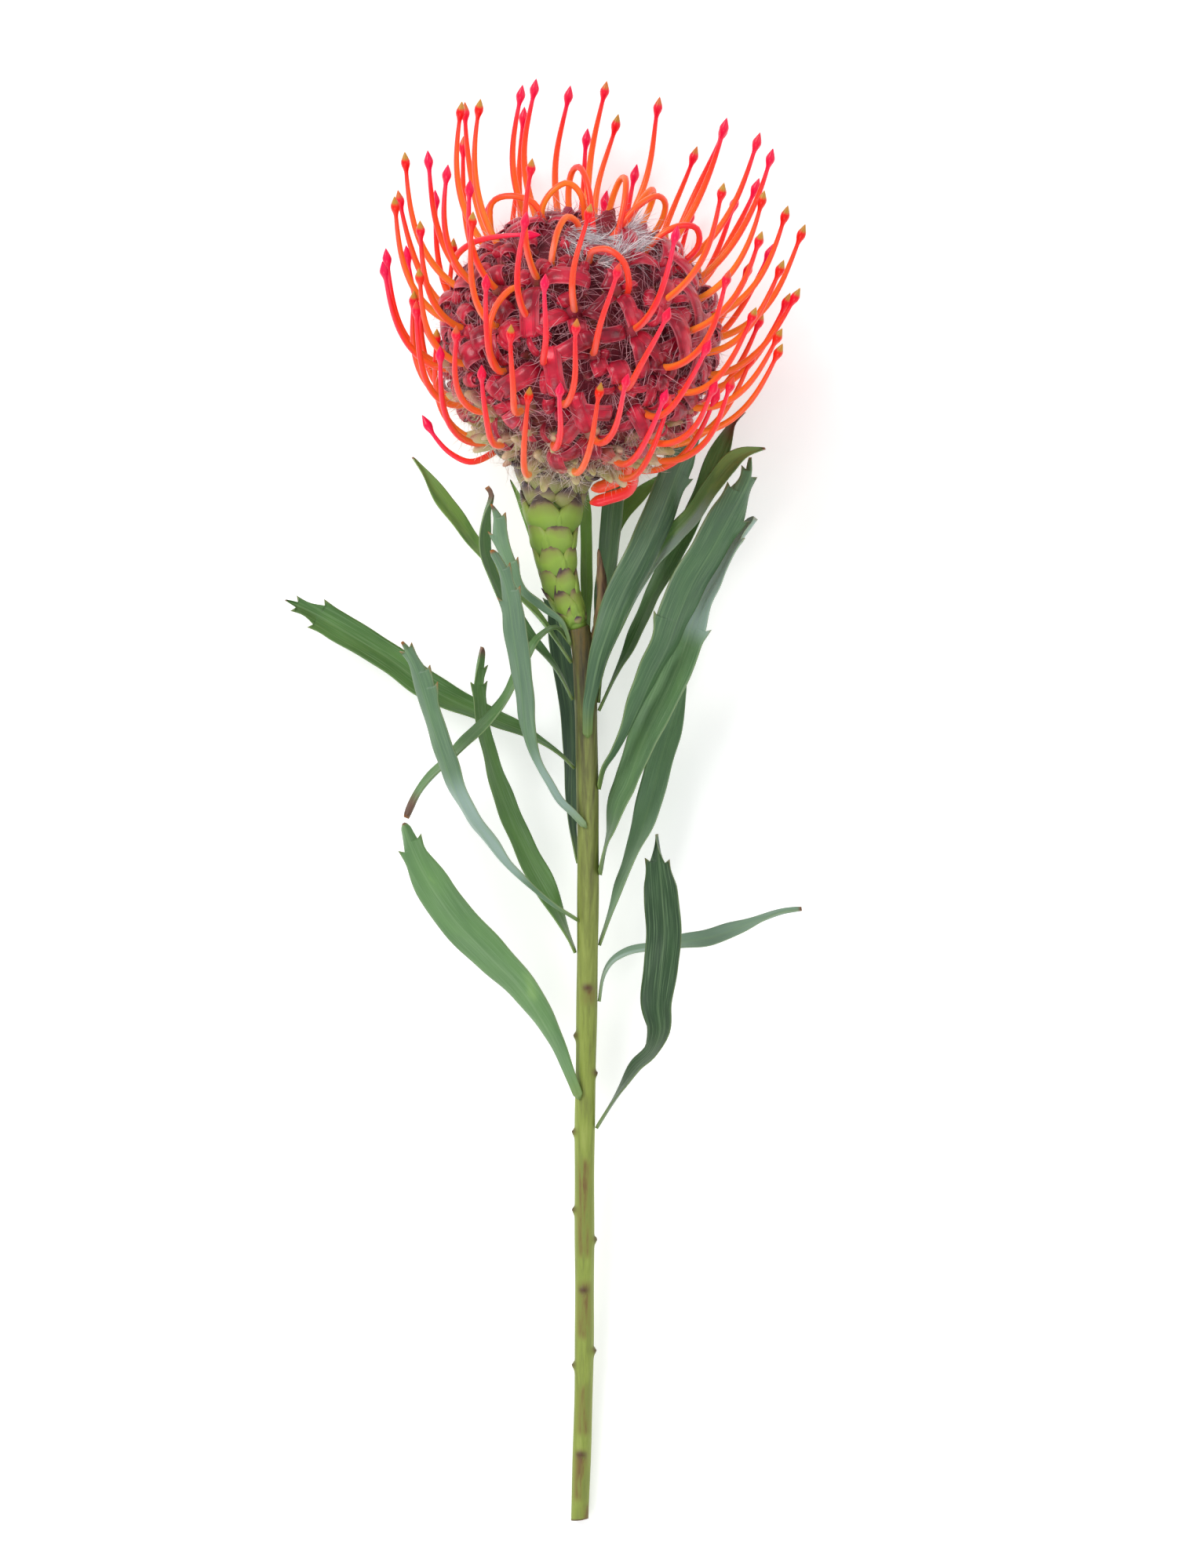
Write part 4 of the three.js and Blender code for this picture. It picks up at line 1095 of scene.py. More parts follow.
# The inner side is more orange, its own colour, and lighter as painted light that passes through the thin
# style.
lit_through_inner_side = add_node(
    waxy_tree,
    "ShaderNodeValToRGB",
    {"Fac": along_in.outputs["Fac"]},
    stops=[
        (0.0, "#ccb444"),
        (0.1, "#f48c30"),
        (0.4, "#fc6c24"),
        (0.68, "#f84c26"),
        (0.82, "#ee1434"),
        (1.0, "#e40c34"),
    ],
)
side = add_node(
    waxy_tree,
    "ShaderNodeMapRange",
    {"Value": facing_in.outputs["Fac"], "From Min": -0.5, "From Max": 0.6},
    interpolation_type="SMOOTHSTEP",
)
two_sided = add_node(
    waxy_tree,
    "ShaderNodeMix",
    {"Factor": side.outputs["Result"], 6: lit_through_inner_side.outputs["Color"], 7: outer_side.outputs["Color"]},
    data_type="RGBA",
)
# A painted highlight: pale pink on the outer side of the lower shaft, where the bright floor would shine on
# the wax.
highlight_along = add_node(
    waxy_tree,
    "ShaderNodeValToRGB",
    {"Fac": along_in.outputs["Fac"]},
    stops=[(0.02, "#000000"), (0.07, "#b0b0b0"), (0.2, "#9a9a9a"), (0.4, "#000000")],
)
highlight_side = add_node(
    waxy_tree, "ShaderNodeMapRange", {"Value": facing_in.outputs["Fac"], "From Min": 0.45, "From Max": 0.9}
)
painted_highlight_share = add_node(
    waxy_tree,
    "ShaderNodeMath",
    {0: highlight_along.outputs["Color"], 1: highlight_side.outputs["Result"]},
    operation="MULTIPLY",
)
highlighted = add_node(
    waxy_tree,
    "ShaderNodeMix",
    {"Factor": painted_highlight_share.outputs[0], 6: two_sided.outputs[2], 7: "#ffe4dc"},
    data_type="RGBA",
)
vary = add_node(
    waxy_tree,
    "ShaderNodeMapRange",
    {"Value": shade_in.outputs["Fac"], "To Min": 0.49, "To Max": 0.51},
)
varied = add_node(
    waxy_tree,
    "ShaderNodeHueSaturation",
    {"Color": highlighted.outputs[2], "Hue": vary.outputs["Result"], "Saturation": 1.0, "Value": 1.0},
)
at_end = add_node(
    waxy_tree, "ShaderNodeMapRange", {"Value": along_in.outputs["Fac"], "From Min": 0.925, "From Max": 0.95}
)
ripe = add_node(
    waxy_tree, "ShaderNodeMapRange", {"Value": shade_in.outputs["Fac"], "From Min": 0.35, "From Max": 0.6}
)
ripe_end = add_node(
    waxy_tree,
    "ShaderNodeMath",
    {0: at_end.outputs["Result"], 1: ripe.outputs["Result"]},
    operation="MULTIPLY",
)
ended = add_node(
    waxy_tree,
    "ShaderNodeMix",
    {"Factor": ripe_end.outputs[0], 6: varied.outputs["Color"], 7: "#b8862e"},
    data_type="RGBA",
)
waxy_tree.links.new(ended.outputs[2], waxy_shader.inputs["Base Color"])
waxy_tree.links.new(ended.outputs[2], waxy_shader.inputs["Emission Color"])

styles = dress(style_lines("style_lines", STYLE_KINDS), sweep_tree(), "styles", Finish=waxy, Sides=10)
seat(styles, "floret", "flower_head")

# %% [markdown]
# ## Silky hairs
# Long silky hairs stand all over the tubes and the rolled petals, and they are what softens a pincushion.
# Blender's own hair would not be exported, so a hair is a thin three-sided cone, and Geometry Nodes scatter
# it over a surface. Its direction is the surface's own, pulled about by slow eddies and a little chance. A
# real hair is about 0.05 mm thick, which would not show, so most of these are two to five times as thick.
# Silk is near white and catches the light, and its colour differs a little from hair to hair. A faint glow
# of its own colour is painted light, which keeps it bright deep among the curls.

# %% Hair shapes and the scatter tree
HAIR_STATIONS = 4
HAIR_RADIUS = 0.014  # mm for each mm of its length
HAIR_TAPER = 0.7  # the share of the radius that is gone near the point
HAIR_BENDS = (0.3, 0.7, 1.2)  # radians from root to point
SHORTEST, LONGEST = 0.55, 1.35  # shares of the length that is asked for
SWIRL_SCALE = 130.0  # eddies of 8 mm


def hair_shape(name, bend):
    """A hair of length one, bent towards +X, in metres for one millimetre."""
    t = np.linspace(0, 1, HAIR_STATIONS)
    angle = bend * t
    way = np.stack([np.sin(angle), 0 * angle, np.cos(angle)], 1) / (HAIR_STATIONS - 1)
    middle = np.concatenate([[np.zeros(3)], np.cumsum(way[:-1], axis=0)])
    radius = HAIR_RADIUS * (1 - HAIR_TAPER * t)
    points, faces = [], []
    for k in range(HAIR_STATIONS - 1):
        points.extend(middle[k] + ring_xy(radius[k], 3))
    points.append(middle[-1])
    for k in range(HAIR_STATIONS - 2):
        for j in range(3):
            a, b = 3 * k + j, 3 * k + (j + 1) % 3
            faces.append((a, b, b + 3, a + 3))
    last = 3 * (HAIR_STATIONS - 2)
    faces.extend((last + j, last + (j + 1) % 3, len(points) - 1) for j in range(3))
    faces.append((2, 1, 0))
    return new_piece(name, np.array(points) * MM, faces)


def hair_tree():
    sockets = {
        "Hairs": "Collection",
        "Finish": "Material",
        "Density": "Float",
        "Length": "Float",
        "Lift": "Float",
        "Swirl": "Float",
        "Loose": "Float",
        "Comb": "Vector",
        "Seed": "Int",
    }
    tree, given, out = new_tree("scatter_hairs", **sockets)
    roots = add_node(
        tree,
        "GeometryNodeDistributePointsOnFaces",
        {"Mesh": given["Geometry"], "Density": given["Density"], "Seed": given["Seed"]},
    )
    lifted = add_node(
        tree, "ShaderNodeVectorMath", {0: roots.outputs["Normal"], "Scale": given["Lift"]}, operation="SCALE"
    )
    place = add_node(tree, "GeometryNodeInputPosition").outputs[0]
    eddies = add_node(tree, "ShaderNodeTexNoise", {"Vector": place, "Scale": SWIRL_SCALE, "Detail": 1.0})
    centred = add_node(
        tree, "ShaderNodeVectorMath", {0: eddies.outputs["Color"], 1: (-0.5, -0.5, -0.5)}, operation="ADD"
    )
    swirled = add_node(
        tree, "ShaderNodeVectorMath", {0: centred.outputs[0], "Scale": given["Swirl"]}, operation="SCALE"
    )
    stray = add_node(
        tree,
        "FunctionNodeRandomValue",
        {0: (-1, -1, -1), 1: (1, 1, 1), "Seed": given["Seed"]},
        data_type="FLOAT_VECTOR",
    )
    loosened = add_node(
        tree, "ShaderNodeVectorMath", {0: stray.outputs[0], "Scale": given["Loose"]}, operation="SCALE"
    )
    way = lifted.outputs[0]
    for share in (swirled.outputs[0], loosened.outputs[0], given["Comb"]):
        way = add_node(tree, "ShaderNodeVectorMath", {0: way, 1: share}, operation="ADD").outputs[0]
    aligned = add_node(tree, "FunctionNodeAlignRotationToVector", {"Factor": 1.0, "Vector": way}, axis="Z")
    whole_turn = {2: 0.0, 3: 2 * math.pi, "Seed": 4}
    spin_by = add_node(tree, "FunctionNodeRandomValue", whole_turn, data_type="FLOAT")
    spin = add_node(tree, "ShaderNodeCombineXYZ", {"Z": spin_by.outputs[1]})
    spun = add_node(tree, "FunctionNodeEulerToRotation", {"Euler": spin.outputs[0]})
    turned = add_node(
        tree,
        "FunctionNodeRotateRotation",
        {"Rotation": aligned.outputs[0], "Rotate By": spun.outputs[0]},
        rotation_space="LOCAL",
    )
    sizes = {2: SHORTEST, 3: LONGEST, "Seed": 5}
    size = add_node(tree, "FunctionNodeRandomValue", sizes, data_type="FLOAT")
    scaled = add_node(tree, "ShaderNodeMath", {0: size.outputs[1], 1: given["Length"]}, operation="MULTIPLY")
    tint = add_node(tree, "FunctionNodeRandomValue", {2: 0.0, 3: 1.0, "Seed": 9}, data_type="FLOAT")
    tinted = add_node(
        tree,
        "GeometryNodeStoreNamedAttribute",
        {"Geometry": roots.outputs["Points"], "Name": "tint", "Value": tint.outputs[1]},
        data_type="FLOAT",
    )
    shapes = add_node(
        tree,
        "GeometryNodeCollectionInfo",
        {"Collection": given["Hairs"], "Separate Children": True, "Reset Children": True},
    )
    kinds = {4: 0, 5: len(HAIR_BENDS) - 1, "Seed": 3}
    which = add_node(tree, "FunctionNodeRandomValue", kinds, data_type="INT")
    copies = add_node(
        tree,
        "GeometryNodeInstanceOnPoints",
        {
            "Points": tinted.outputs[0],
            "Instance": shapes.outputs[0],
            "Pick Instance": True,
            "Instance Index": which.outputs[2],
            "Rotation": turned.outputs[0],
            "Scale": scaled.outputs[0],
        },
    )
    end_tree(tree, copies.outputs[0], given, out)
    return tree


HAIR_SHAPES = shape_set(
    "hair_shapes", [hair_shape(f"hair_{k}", bend) for k, bend in enumerate(HAIR_BENDS)]
)
SCATTER = hair_tree()


def silk(name, dark, light):
    """A silky finish that goes from a dark to a light colour, from hair to hair."""
    # The faint glow in the hair's own colour is painted light, for the shine of backlit silk.
    material, tree, shader = new_finish(name, Roughness=0.4, Emission_Strength=0.12)
    tint = add_node(tree, "ShaderNodeAttribute", attribute_name="tint")
    stops = [(0.0, dark), (1.0, light)]
    colour = add_node(tree, "ShaderNodeValToRGB", {"Fac": tint.outputs["Fac"]}, stops=stops)
    tree.links.new(colour.outputs["Color"], shader.inputs["Base Color"])
    tree.links.new(colour.outputs["Color"], shader.inputs["Emission Color"])
    return material


PINK_SILK = silk("pink_silk", "#a84c62", "#ecbcc2")
SILVER_SILK = silk("silver_silk", "#b4aab2", "#ffffff")
CREAM_SILK = silk("cream_silk", "#b89a84", "#f4e8dc")

# %% [markdown]
# On the rolled petals the hairs fringe the edges only, so that the crimson shows. Others stand between the
# petals and on the cream tubes, and a silvery tuft lies over the crown, where the youngest florets are still
# shut. Hairs could be scattered by a painted map; here each patch is a copy of the faces that carry it.

# %% Hairs on the head
SHARE = 1.0
PER_CM2 = 1e4  # square centimetres in a square metre


def part_of(piece, name, test, least_edge=0.0):
    """A copy of the faces of a piece whose middle, in measured mm, passes a test and is near an edge."""
    copy = bpy.data.objects.new(name, piece.data.copy())
    scene.collection.objects.link(copy)
    shape = bmesh.new()
    shape.from_mesh(copy.data)
    edge = shape.verts.layers.float.get("edge")
    out = []
    for face in shape.faces:
        at_edge = not least_edge or sum(corner[edge] for corner in face.verts) / len(face.verts) >= least_edge
        if not at_edge or not test(np.array(face.calc_center_median()) / MM + SET_BACK):
            out.append(face)
    bmesh.ops.delete(shape, geom=out, context="FACES")
    shape.to_mesh(copy.data)
    shape.free()
    return copy


def polar_of(point):
    """The angle of a point from the head's crown, in degrees."""
    return math.degrees(math.acos(unit(point - HEAD_CENTRE) @ AXIS))


TUFT_CENTRE = core_point(9, math.pi / 2, 2)[0]  # 9 degrees from the crown, to the front, and 2 mm out
TUFT_RADIUS = 9.5
FRINGE_TO, GAPS_TO, SKIRT_OF = 118, 104, 98  # degrees from the crown
FRINGE_EDGE = 0.95  # how near its edge a ribbon carries hairs, where 1 is the edge
TUFT_COMB = RIGHT * 0.9 + FRONT * 0.2


def in_tuft(point):
    return np.linalg.norm(point - TUFT_CENTRE) < TUFT_RADIUS


def scatter(source, name, finish, per_cm2, length, lift, swirl, loose, seed, comb=(0.0, 0.0, 0.0)):
    hairs = dress(
        source,
        SCATTER,
        name,
        Hairs=HAIR_SHAPES,
        Finish=finish,
        Density=per_cm2 * PER_CM2 * SHARE,
        Length=length,
        Lift=lift,
        Swirl=swirl,
        Loose=loose,
        Comb=tuple(comb),
        Seed=seed,
    )
    seat(hairs, "floret")


fringe = part_of(curls, "fringe", lambda p: polar_of(p) < FRINGE_TO, least_edge=FRINGE_EDGE)
gaps = part_of(tubes, "gaps", lambda p: polar_of(p) < GAPS_TO)
skirt = part_of(tubes, "skirt", lambda p: polar_of(p) >= SKIRT_OF)
tuft = part_of(tubes, "tuft", in_tuft)
scatter(fringe, "silk_on_curls", PINK_SILK, 230, 4.8, 0.9, 1.8, 0.25, 11)
scatter(gaps, "silk_between_curls", PINK_SILK, 34, 6.6, 0.9, 2.6, 0.2, 12)
scatter(skirt, "silk_on_skirt", CREAM_SILK, 60, 4.4, 0.7, 2.4, 0.3, 13)
scatter(tuft, "silk_at_crown", SILVER_SILK, 230, 9.0, 0.5, 2.2, 0.2, 15, TUFT_COMB)

# %% [markdown]
# ## The flower stalk
# Below the head the stalk is a narrow cone of plump green scales, each with a dark dry point, and the last
# rings are small bracts, duller and browner, that hold the head's foot. The green skin is waxy, with a dim
# shine, and noise makes the edge of each dry point ragged. Scales could be cut into the cone. Here a scale
# and a bract are each drawn once, as thick pointed plates, and the florets' tree sets them on the stalk.
# Each row steps round by half a scale, and the edges sink into their neighbours, so no gap shows.

# %% Stalk and scales
STALK_POINTS = [
    [8.85, 51.05, 24],
    [7.4, 54, 24.1],
    [4.8, 59.5, 24.2],
    [3.3, 66, 24.2],
    [2.6, 74, 24.2],
    [2.3, 81, 24.2],
    [2.4, 87.5, 24.4],
    FOOT_CENTRE - 0.3 * AXIS,
]
STALK_RADII = [3, 3.5, 4.2, 4.9, 5.6, 6.8, 8.8, 12.2]
SCALE_ROWS = 7  # the last of which is left to the bracts
SCALES_ROUND = 5
stalk_line = Line(STALK_POINTS)


def stalk_radius(t):
    return np.interp(t, np.linspace(0, 1, len(STALK_RADII)), STALK_RADII)


def ring_at(line, t, radius, sides):
    """A ring of points square to a line."""
    side, front = level_frame(line.heading(t))
    angle = np.arange(sides) * 2 * math.pi / sides
    return line.at(t) + radius * (np.outer(np.cos(angle), side) + np.outer(np.sin(angle), front))


def scale_shape(name, half, bulge, lift, fullest, stations=12, columns=7):
    """A pointed, plump plate one millimetre long, which lies along +Y with its point lifted."""
    t = np.linspace(0, 1, stations)
    u = np.linspace(-1, 1, columns)
    rings, point = [], []
    for k in t:
        width = half * max(math.sin(math.pi * k**fullest) ** 0.85, 0.05 * (1 - k) + 0.02)
        height = bulge * math.sin(math.pi * k**0.8) ** 0.7 + lift * k**4
        top = np.stack([u * width, 0 * u + k, height - bulge * 1.15 * u**2 * min(1, 2 * (1 - k))], 1)
        under = top - (0, 0, lerp(1.2, 0.3, k))
        rings.append(np.concatenate([top, under[::-1]]))
        point.append(np.full(2 * columns, k))
    return loft(name, np.array(rings) * MM, along=np.ravel(point))


scale_shapes = shape_set(
    "scale_shapes", [scale_shape("scale_a", 1, 1, 0.6, 0.68), scale_shape("scale_b_bract", 1, 1.1, 0.9, 0.95)]
)

SCALE, BRACT = range(2)
HEIGHTS = (0.27, 0.36)  # the plumpness of a scale and of a bract, as shares of its half-width
FOOT_SINK, TIP_RISE = 0.5, 0.25  # how deep a scale's foot lies in the stalk, and how high its tip, mm
ROWS_FROM, ROWS_OVER = 0.13, 0.8  # where along the stalk the first row's tips are, and how far on the last's
ROW_BACK = 0.08  # how far before its tips a row's width is measured
WIDTH_SHARE, WIDTH_MORE = 0.72, 0.25  # a scale's half-width: a share of the stalk's radius, and more in mm
SCALE_LENGTH = 12
SPIRAL = 0.03  # how far a row climbs in going round, as a share of the stalk
BRACT_LENGTH = 2.3  # half-widths
# place of a ring of bracts along the stalk, how many, and their half-width in mm
STALK_BRACTS = [(0.05, 5, 1.3), (0.84, 8, 3.2), (0.92, 10, 3.1), (1.0, 12, 3.0)]
scale_seats = []
scale_draws = Draws(3)


def scale_seat(t, angle, half, length, kind, age):
    """A scale whose point stands over the stalk at t, on a side given by an angle."""
    back = max(t - length / stalk_line.length, 0.0)
    side, front = level_frame(stalk_line.heading(min(t, 0.97)))
    out = side * math.cos(angle) + front * math.sin(angle)
    lower = stalk_line.at(back) + out * (stalk_radius(back) - FOOT_SINK)
    upper = stalk_line.at(t) + out * (stalk_radius(t) + TIP_RISE)
    along = unit(upper - lower)
    normal = unit(out - (out @ along) * along)
    size = (half, np.linalg.norm(upper - lower), half * HEIGHTS[kind])
    scale_seats.append((lower, normal, np.cross(along, normal), size, kind, age))


for row in range(SCALE_ROWS - 1):
    t = ROWS_FROM + ROWS_OVER * row / (SCALE_ROWS - 1)
    half = WIDTH_SHARE * stalk_radius(t - ROW_BACK) + WIDTH_MORE
    for k in range(SCALES_ROUND):
        angle = math.pi * (2 * k + row % 2) / SCALES_ROUND + scale_draws.spread(0.12)
        length = SCALE_LENGTH + scale_draws.spread(0.8)
        tip = t + SPIRAL * (k / SCALES_ROUND - 0.5) + scale_draws.spread(0.008)
        scale_seat(tip, angle, half, length, SCALE, row / SCALE_ROWS * 0.7)
for ring_t, count, half in STALK_BRACTS:
    for k in range(count):
        angle = 2 * math.pi * (k + scale_draws.spread(0.2)) / count + 5 * ring_t
        scale_seat(ring_t, angle, half, BRACT_LENGTH * half, BRACT, 1.0)

# polar angle of a ring of bracts on the head, how many, and their size in mm
BRACT_RINGS = [(154, 14, 5.5), (147, 16, 5.5), (140, 17, 5.0)]
BRACT_WIDE, BRACT_HIGH = 0.36, 0.22  # shares of their length
BRACT_OUT, BRACT_BACK = 0.6, 2  # how far over the core, and how far down it, a bract starts, mm
for polar, count, long in BRACT_RINGS:
    for k in range(count):
        azimuth = 2 * math.pi * (k + scale_draws.spread(0.25)) / count + polar
        place, out, _ = core_point(polar, azimuth, BRACT_OUT)
        upward = unit(AXIS - (AXIS @ out) * out)
        grown = long * (1 + scale_draws.spread(0.15))
        size = (grown * BRACT_WIDE, grown, grown * BRACT_HIGH)
        scale_seats.append((place - BRACT_BACK * upward, out, np.cross(upward, out), size, BRACT, 1.0))

SCALE_PATCH_SCALE = 220.0  # patches of 4.5 mm
scale_finish, scale_tree, scale_shader = new_finish("waxy_green_scale", Roughness=0.5, Sheen_Weight=0.1)
where = add_node(scale_tree, "ShaderNodeTexCoord").outputs["Object"]
along_in = add_node(scale_tree, "ShaderNodeAttribute", attribute_name="along")
age_in = add_node(scale_tree, "ShaderNodeAttribute", attribute_name="age")
cloud = add_node(
    scale_tree, "ShaderNodeTexNoise", {"Vector": where, "Scale": SCALE_PATCH_SCALE, "Detail": 3.0}
)
ragged = add_node(
    scale_tree,
    "ShaderNodeMath",
    {0: cloud.outputs["Fac"], 1: 0.35, 2: along_in.outputs["Fac"]},
    operation="MULTIPLY_ADD",
)
scale_colour = add_node(
    scale_tree,
    "ShaderNodeValToRGB",
    {"Fac": ragged.outputs[0]},
    stops=[(0.3, "#7a9c38"), (0.65, "#93b244"), (0.84, "#8f9a48"), (0.92, "#7c684a"), (0.98, "#4e3d36")],
)
bract_colour = add_node(
    scale_tree,
    "ShaderNodeValToRGB",
    {"Fac": ragged.outputs[0]},
    stops=[(0.3, "#94a052"), (0.7, "#a09a62"), (0.9, "#7c6658"), (1.0, "#54424a")],
)
kind_of_scale = add_node(
    scale_tree, "ShaderNodeMapRange", {"Value": age_in.outputs["Fac"], "From Min": 0.8, "From Max": 1.0}
)
scale_mix = add_node(
    scale_tree,
    "ShaderNodeMix",
    {
        "Factor": kind_of_scale.outputs["Result"],
        6: scale_colour.outputs["Color"],
        7: bract_colour.outputs["Color"],
    },
    data_type="RGBA",
)
scale_bump = add_node(
    scale_tree, "ShaderNodeBump", {"Height": cloud.outputs["Fac"], "Strength": 0.3, "Distance": 0.0005}
)
scale_tree.links.new(scale_mix.outputs[2], scale_shader.inputs["Base Color"])
scale_tree.links.new(scale_bump.outputs["Normal"], scale_shader.inputs["Normal"])

scales = dress(
    seats("scale_seats", scale_seats),
    SEAT_SHAPES,
    "stalk_scales",
    Shapes=scale_shapes,
    Finish=scale_finish,
    Wobble=0.8 * MM,
    Wobble_size=150.0,
)
drop(scale_shapes)
seat(scales, "stalk", "flower_stalk")

STALK_STATIONS, STALK_SIDES = 40, 24
STALK_SINK = 0.35  # how deep the plain stalk lies under its scales' surface, mm
STALK_ROOT = 1.2  # how far it reaches into the stem, mm
HAIRY_FROM = 83  # measured Y beyond which the bracts are hairy, mm
stalk_places = np.linspace(0, 1, STALK_STATIONS)
stalk_rings = [ring_at(stalk_line, t, stalk_radius(t) - STALK_SINK, STALK_SIDES) for t in stalk_places]
joint_ring = stalk_rings[0] - STALK_ROOT * stalk_line.heading(0.0)
stalk_core = loft("stalk_core", in_frame([joint_ring, *stalk_rings]))
stalk_core.data.materials.append(scale_finish)
seat(stalk_core, "stalk", "flower_stalk")
bract_faces = part_of(scales, "bract_faces", lambda p: p[1] > HAIRY_FROM)
scatter(bract_faces, "silk_on_bracts", CREAM_SILK, 24, 2.2, 0.6, 1.6, 0.4, 16)

# %% [markdown]
# ## The stem
# The stem is a plain green shoot, round and a little knobbly, with a small woody scar wherever a leaf was
# stripped off, and brown streaks in places. Its old growing point stands beside the flower stalk.
# It could be a tube with painted scars, but the scars stand out against the white floor, so the tube's
# points are pushed out there.

# %% Stem
STEM_POINTS = [
    [9.6, -190, 2.42],
    [10.7, -149, 6.2],
    [11, -86, 11.8],
    [11.5, -54.6, 14.6],
    [11.8, -12.6, 18.4],
    [11.4, 20, 21.4],
    [11, 38, 22.8],
    [10.4, 45.5, 23.5],
    [9.1, 50.4, 24],
]
STEM_END_RADIUS, STEM_TOP_RADIUS = 2.4, 3.1
STEM_SIDES, STEM_RINGS = 32, 420
LEAF_SCARS = [  # distance along Y in mm, and side in degrees: 0 right, 90 up, 180 left
    (-46, 88),
    (-59, 170),
    (-69, 30),
    (-85, 172),
    (-106, 172),
    (-114, 5),
    (-127.5, 95),
    (-144, 8),
    (-148, 176),
    (-172, 95),
]
STAINS = [  # from and to along Y in mm, and side in degrees
    (38, 51, 90),
    (36, 51, 200),
    (36, 51, 330),
    (-50, -46, 70),
    (-118, -93, 95),
    (-140, -126, 90),
    (-166, -154, 80),
    (-184, -172, 95),
    (-190, -186, 30),
]
SCAR_SWELL = 0.85  # how far a scar stands out, mm
SCAR_HALF, SCAR_ABOVE, SCAR_BELOW = 1.15, 0.55, 1.3  # the swelling's reach round, up and down the stem, mm
CORK_HALF, CORK_LONG = 1.3, 0.9  # the reach of its brown cork, round and along the stem, mm
STAIN_HALF = 42  # how far a stain reaches round the stem, degrees
RIB_HEIGHT, RIBS, RIB_TWIST = 0.06, 5, 2.3  # mm, how many round the stem, and degrees of twist for each mm
SWAY_HEIGHT, SWAY_RATE = 0.05, 0.21  # slow swellings along the stem: mm, and radians for each mm
CUT_SLANT = 0.35  # how far the cut end is off square, mm
DEGREES = 57.3  # in a radian
stem_line = Line(STEM_POINTS)


def stem_place(y):
    """The place along the stem, from 0 to 1, at a distance along Y."""
    return (y - STEM_POINTS[0][1]) / (STEM_POINTS[-1][1] - STEM_POINTS[0][1])


def stem_radius(t):
    return lerp(STEM_END_RADIUS, STEM_TOP_RADIUS, t)


stem_rings, scar_values, stain_values, cut_values = [], [], [], []
sides = np.arange(STEM_SIDES) * 360 / STEM_SIDES
for t in np.linspace(0, 1, STEM_RINGS):
    y = lerp(STEM_POINTS[0][1], STEM_POINTS[-1][1], t)
    side, front = level_frame(stem_line.heading(t))
    swell = np.zeros(STEM_SIDES)
    scar = np.zeros(STEM_SIDES)
    stain = np.zeros(STEM_SIDES)
    for scar_y, degrees in LEAF_SCARS:
        apart = np.abs((sides - degrees + 180) % 360 - 180) / DEGREES * stem_radius(t)
        from_scar = y - scar_y
        reach = SCAR_ABOVE if from_scar > 0 else SCAR_BELOW
        swell += SCAR_SWELL * np.exp(-((apart / SCAR_HALF) ** 2) - (from_scar / reach) ** 2)
        scar = np.maximum(scar, np.exp(-((apart / CORK_HALF) ** 2) - (from_scar / CORK_LONG) ** 2))
    for low, high, degrees in STAINS:
        apart = np.abs((sides - degrees + 180) % 360 - 180)
        inside = smooth(y, low - 2, low + 1) * (1 - smooth(y, high - 1, high + 2))
        stain = np.maximum(stain, inside * np.exp(-((apart / STAIN_HALF) ** 2)))
    ribs = RIB_HEIGHT * np.cos(np.radians(sides * RIBS + y * RIB_TWIST))
    radius = stem_radius(t) + (ribs + SWAY_HEIGHT * math.sin(y * SWAY_RATE)) + swell
    slant = CUT_SLANT * np.cos(np.radians(sides)) * max(0, 1 - t * 40)
    ring = stem_line.at(t) + radius[:, None] * (
        np.outer(np.cos(np.radians(sides)), side) + np.outer(np.sin(np.radians(sides)), front)
    )
    ring[:, 1] += slant
    stem_rings.append(ring)
    scar_values.append(scar)
    stain_values.append(stain)
    cut_values.append(np.full(STEM_SIDES, 1.0 if t == 0 else 0.0))

stem_rings = np.array(stem_rings)
end_middle = stem_rings[0].mean(axis=0)
wood = end_middle + (stem_rings[0] - end_middle) * 0.72 + (0, 0.25, 0)  # the cut end is a little hollow
pith = end_middle + (stem_rings[0] - end_middle) * 0.3 + (0, 0.5, 0)
stem_rings = np.concatenate([[pith, wood], stem_rings])
stem_rings[..., 2] = np.maximum(stem_rings[..., 2], 0.0)
blank = np.zeros(2 * STEM_SIDES)
stem = loft(
    "stem_bark",
    in_frame(stem_rings),
    scar=np.concatenate([blank, np.ravel(scar_values)]),
    stain=np.concatenate([blank, np.ravel(stain_values)]),
    cut=np.concatenate([np.ones(2 * STEM_SIDES), np.ravel(cut_values)]),
)

# %% [markdown]
# Young bark is green because light reaches the living layer under its skin. It turns olive and brown where
# it is older or rubbed, in long streaks along the grain. So one noise is stretched along the stem for the
# streaks, a second makes specks, and values on the vertices bring in the scars, the stains and the cut end.
# The dead tip of the old shoot is dull and fibrous, so its noise is stretched in the same way.

# %% Green bark
BARK_SCALE = 700.0  # streaks 1.4 mm wide
BARK_STRETCH = (1.0, 0.06, 1.0)  # and 24 mm long
SPECK_SCALE = 900.0  # specks of 1.1 mm
bark, bark_tree, bark_shader = new_finish("green_bark", Roughness=0.55)
where = add_node(bark_tree, "ShaderNodeTexCoord").outputs["Object"]
stretched = add_node(bark_tree, "ShaderNodeMapping", {"Vector": where, "Scale": BARK_STRETCH})
streaks = add_node(
    bark_tree,
    "ShaderNodeTexNoise",
    {"Vector": stretched.outputs[0], "Scale": BARK_SCALE, "Detail": 4.0, "Roughness": 0.6},
)
specks = add_node(bark_tree, "ShaderNodeTexNoise", {"Vector": where, "Scale": SPECK_SCALE, "Detail": 2.0})
height_in = add_node(bark_tree, "ShaderNodeSeparateXYZ", {"Vector": where})
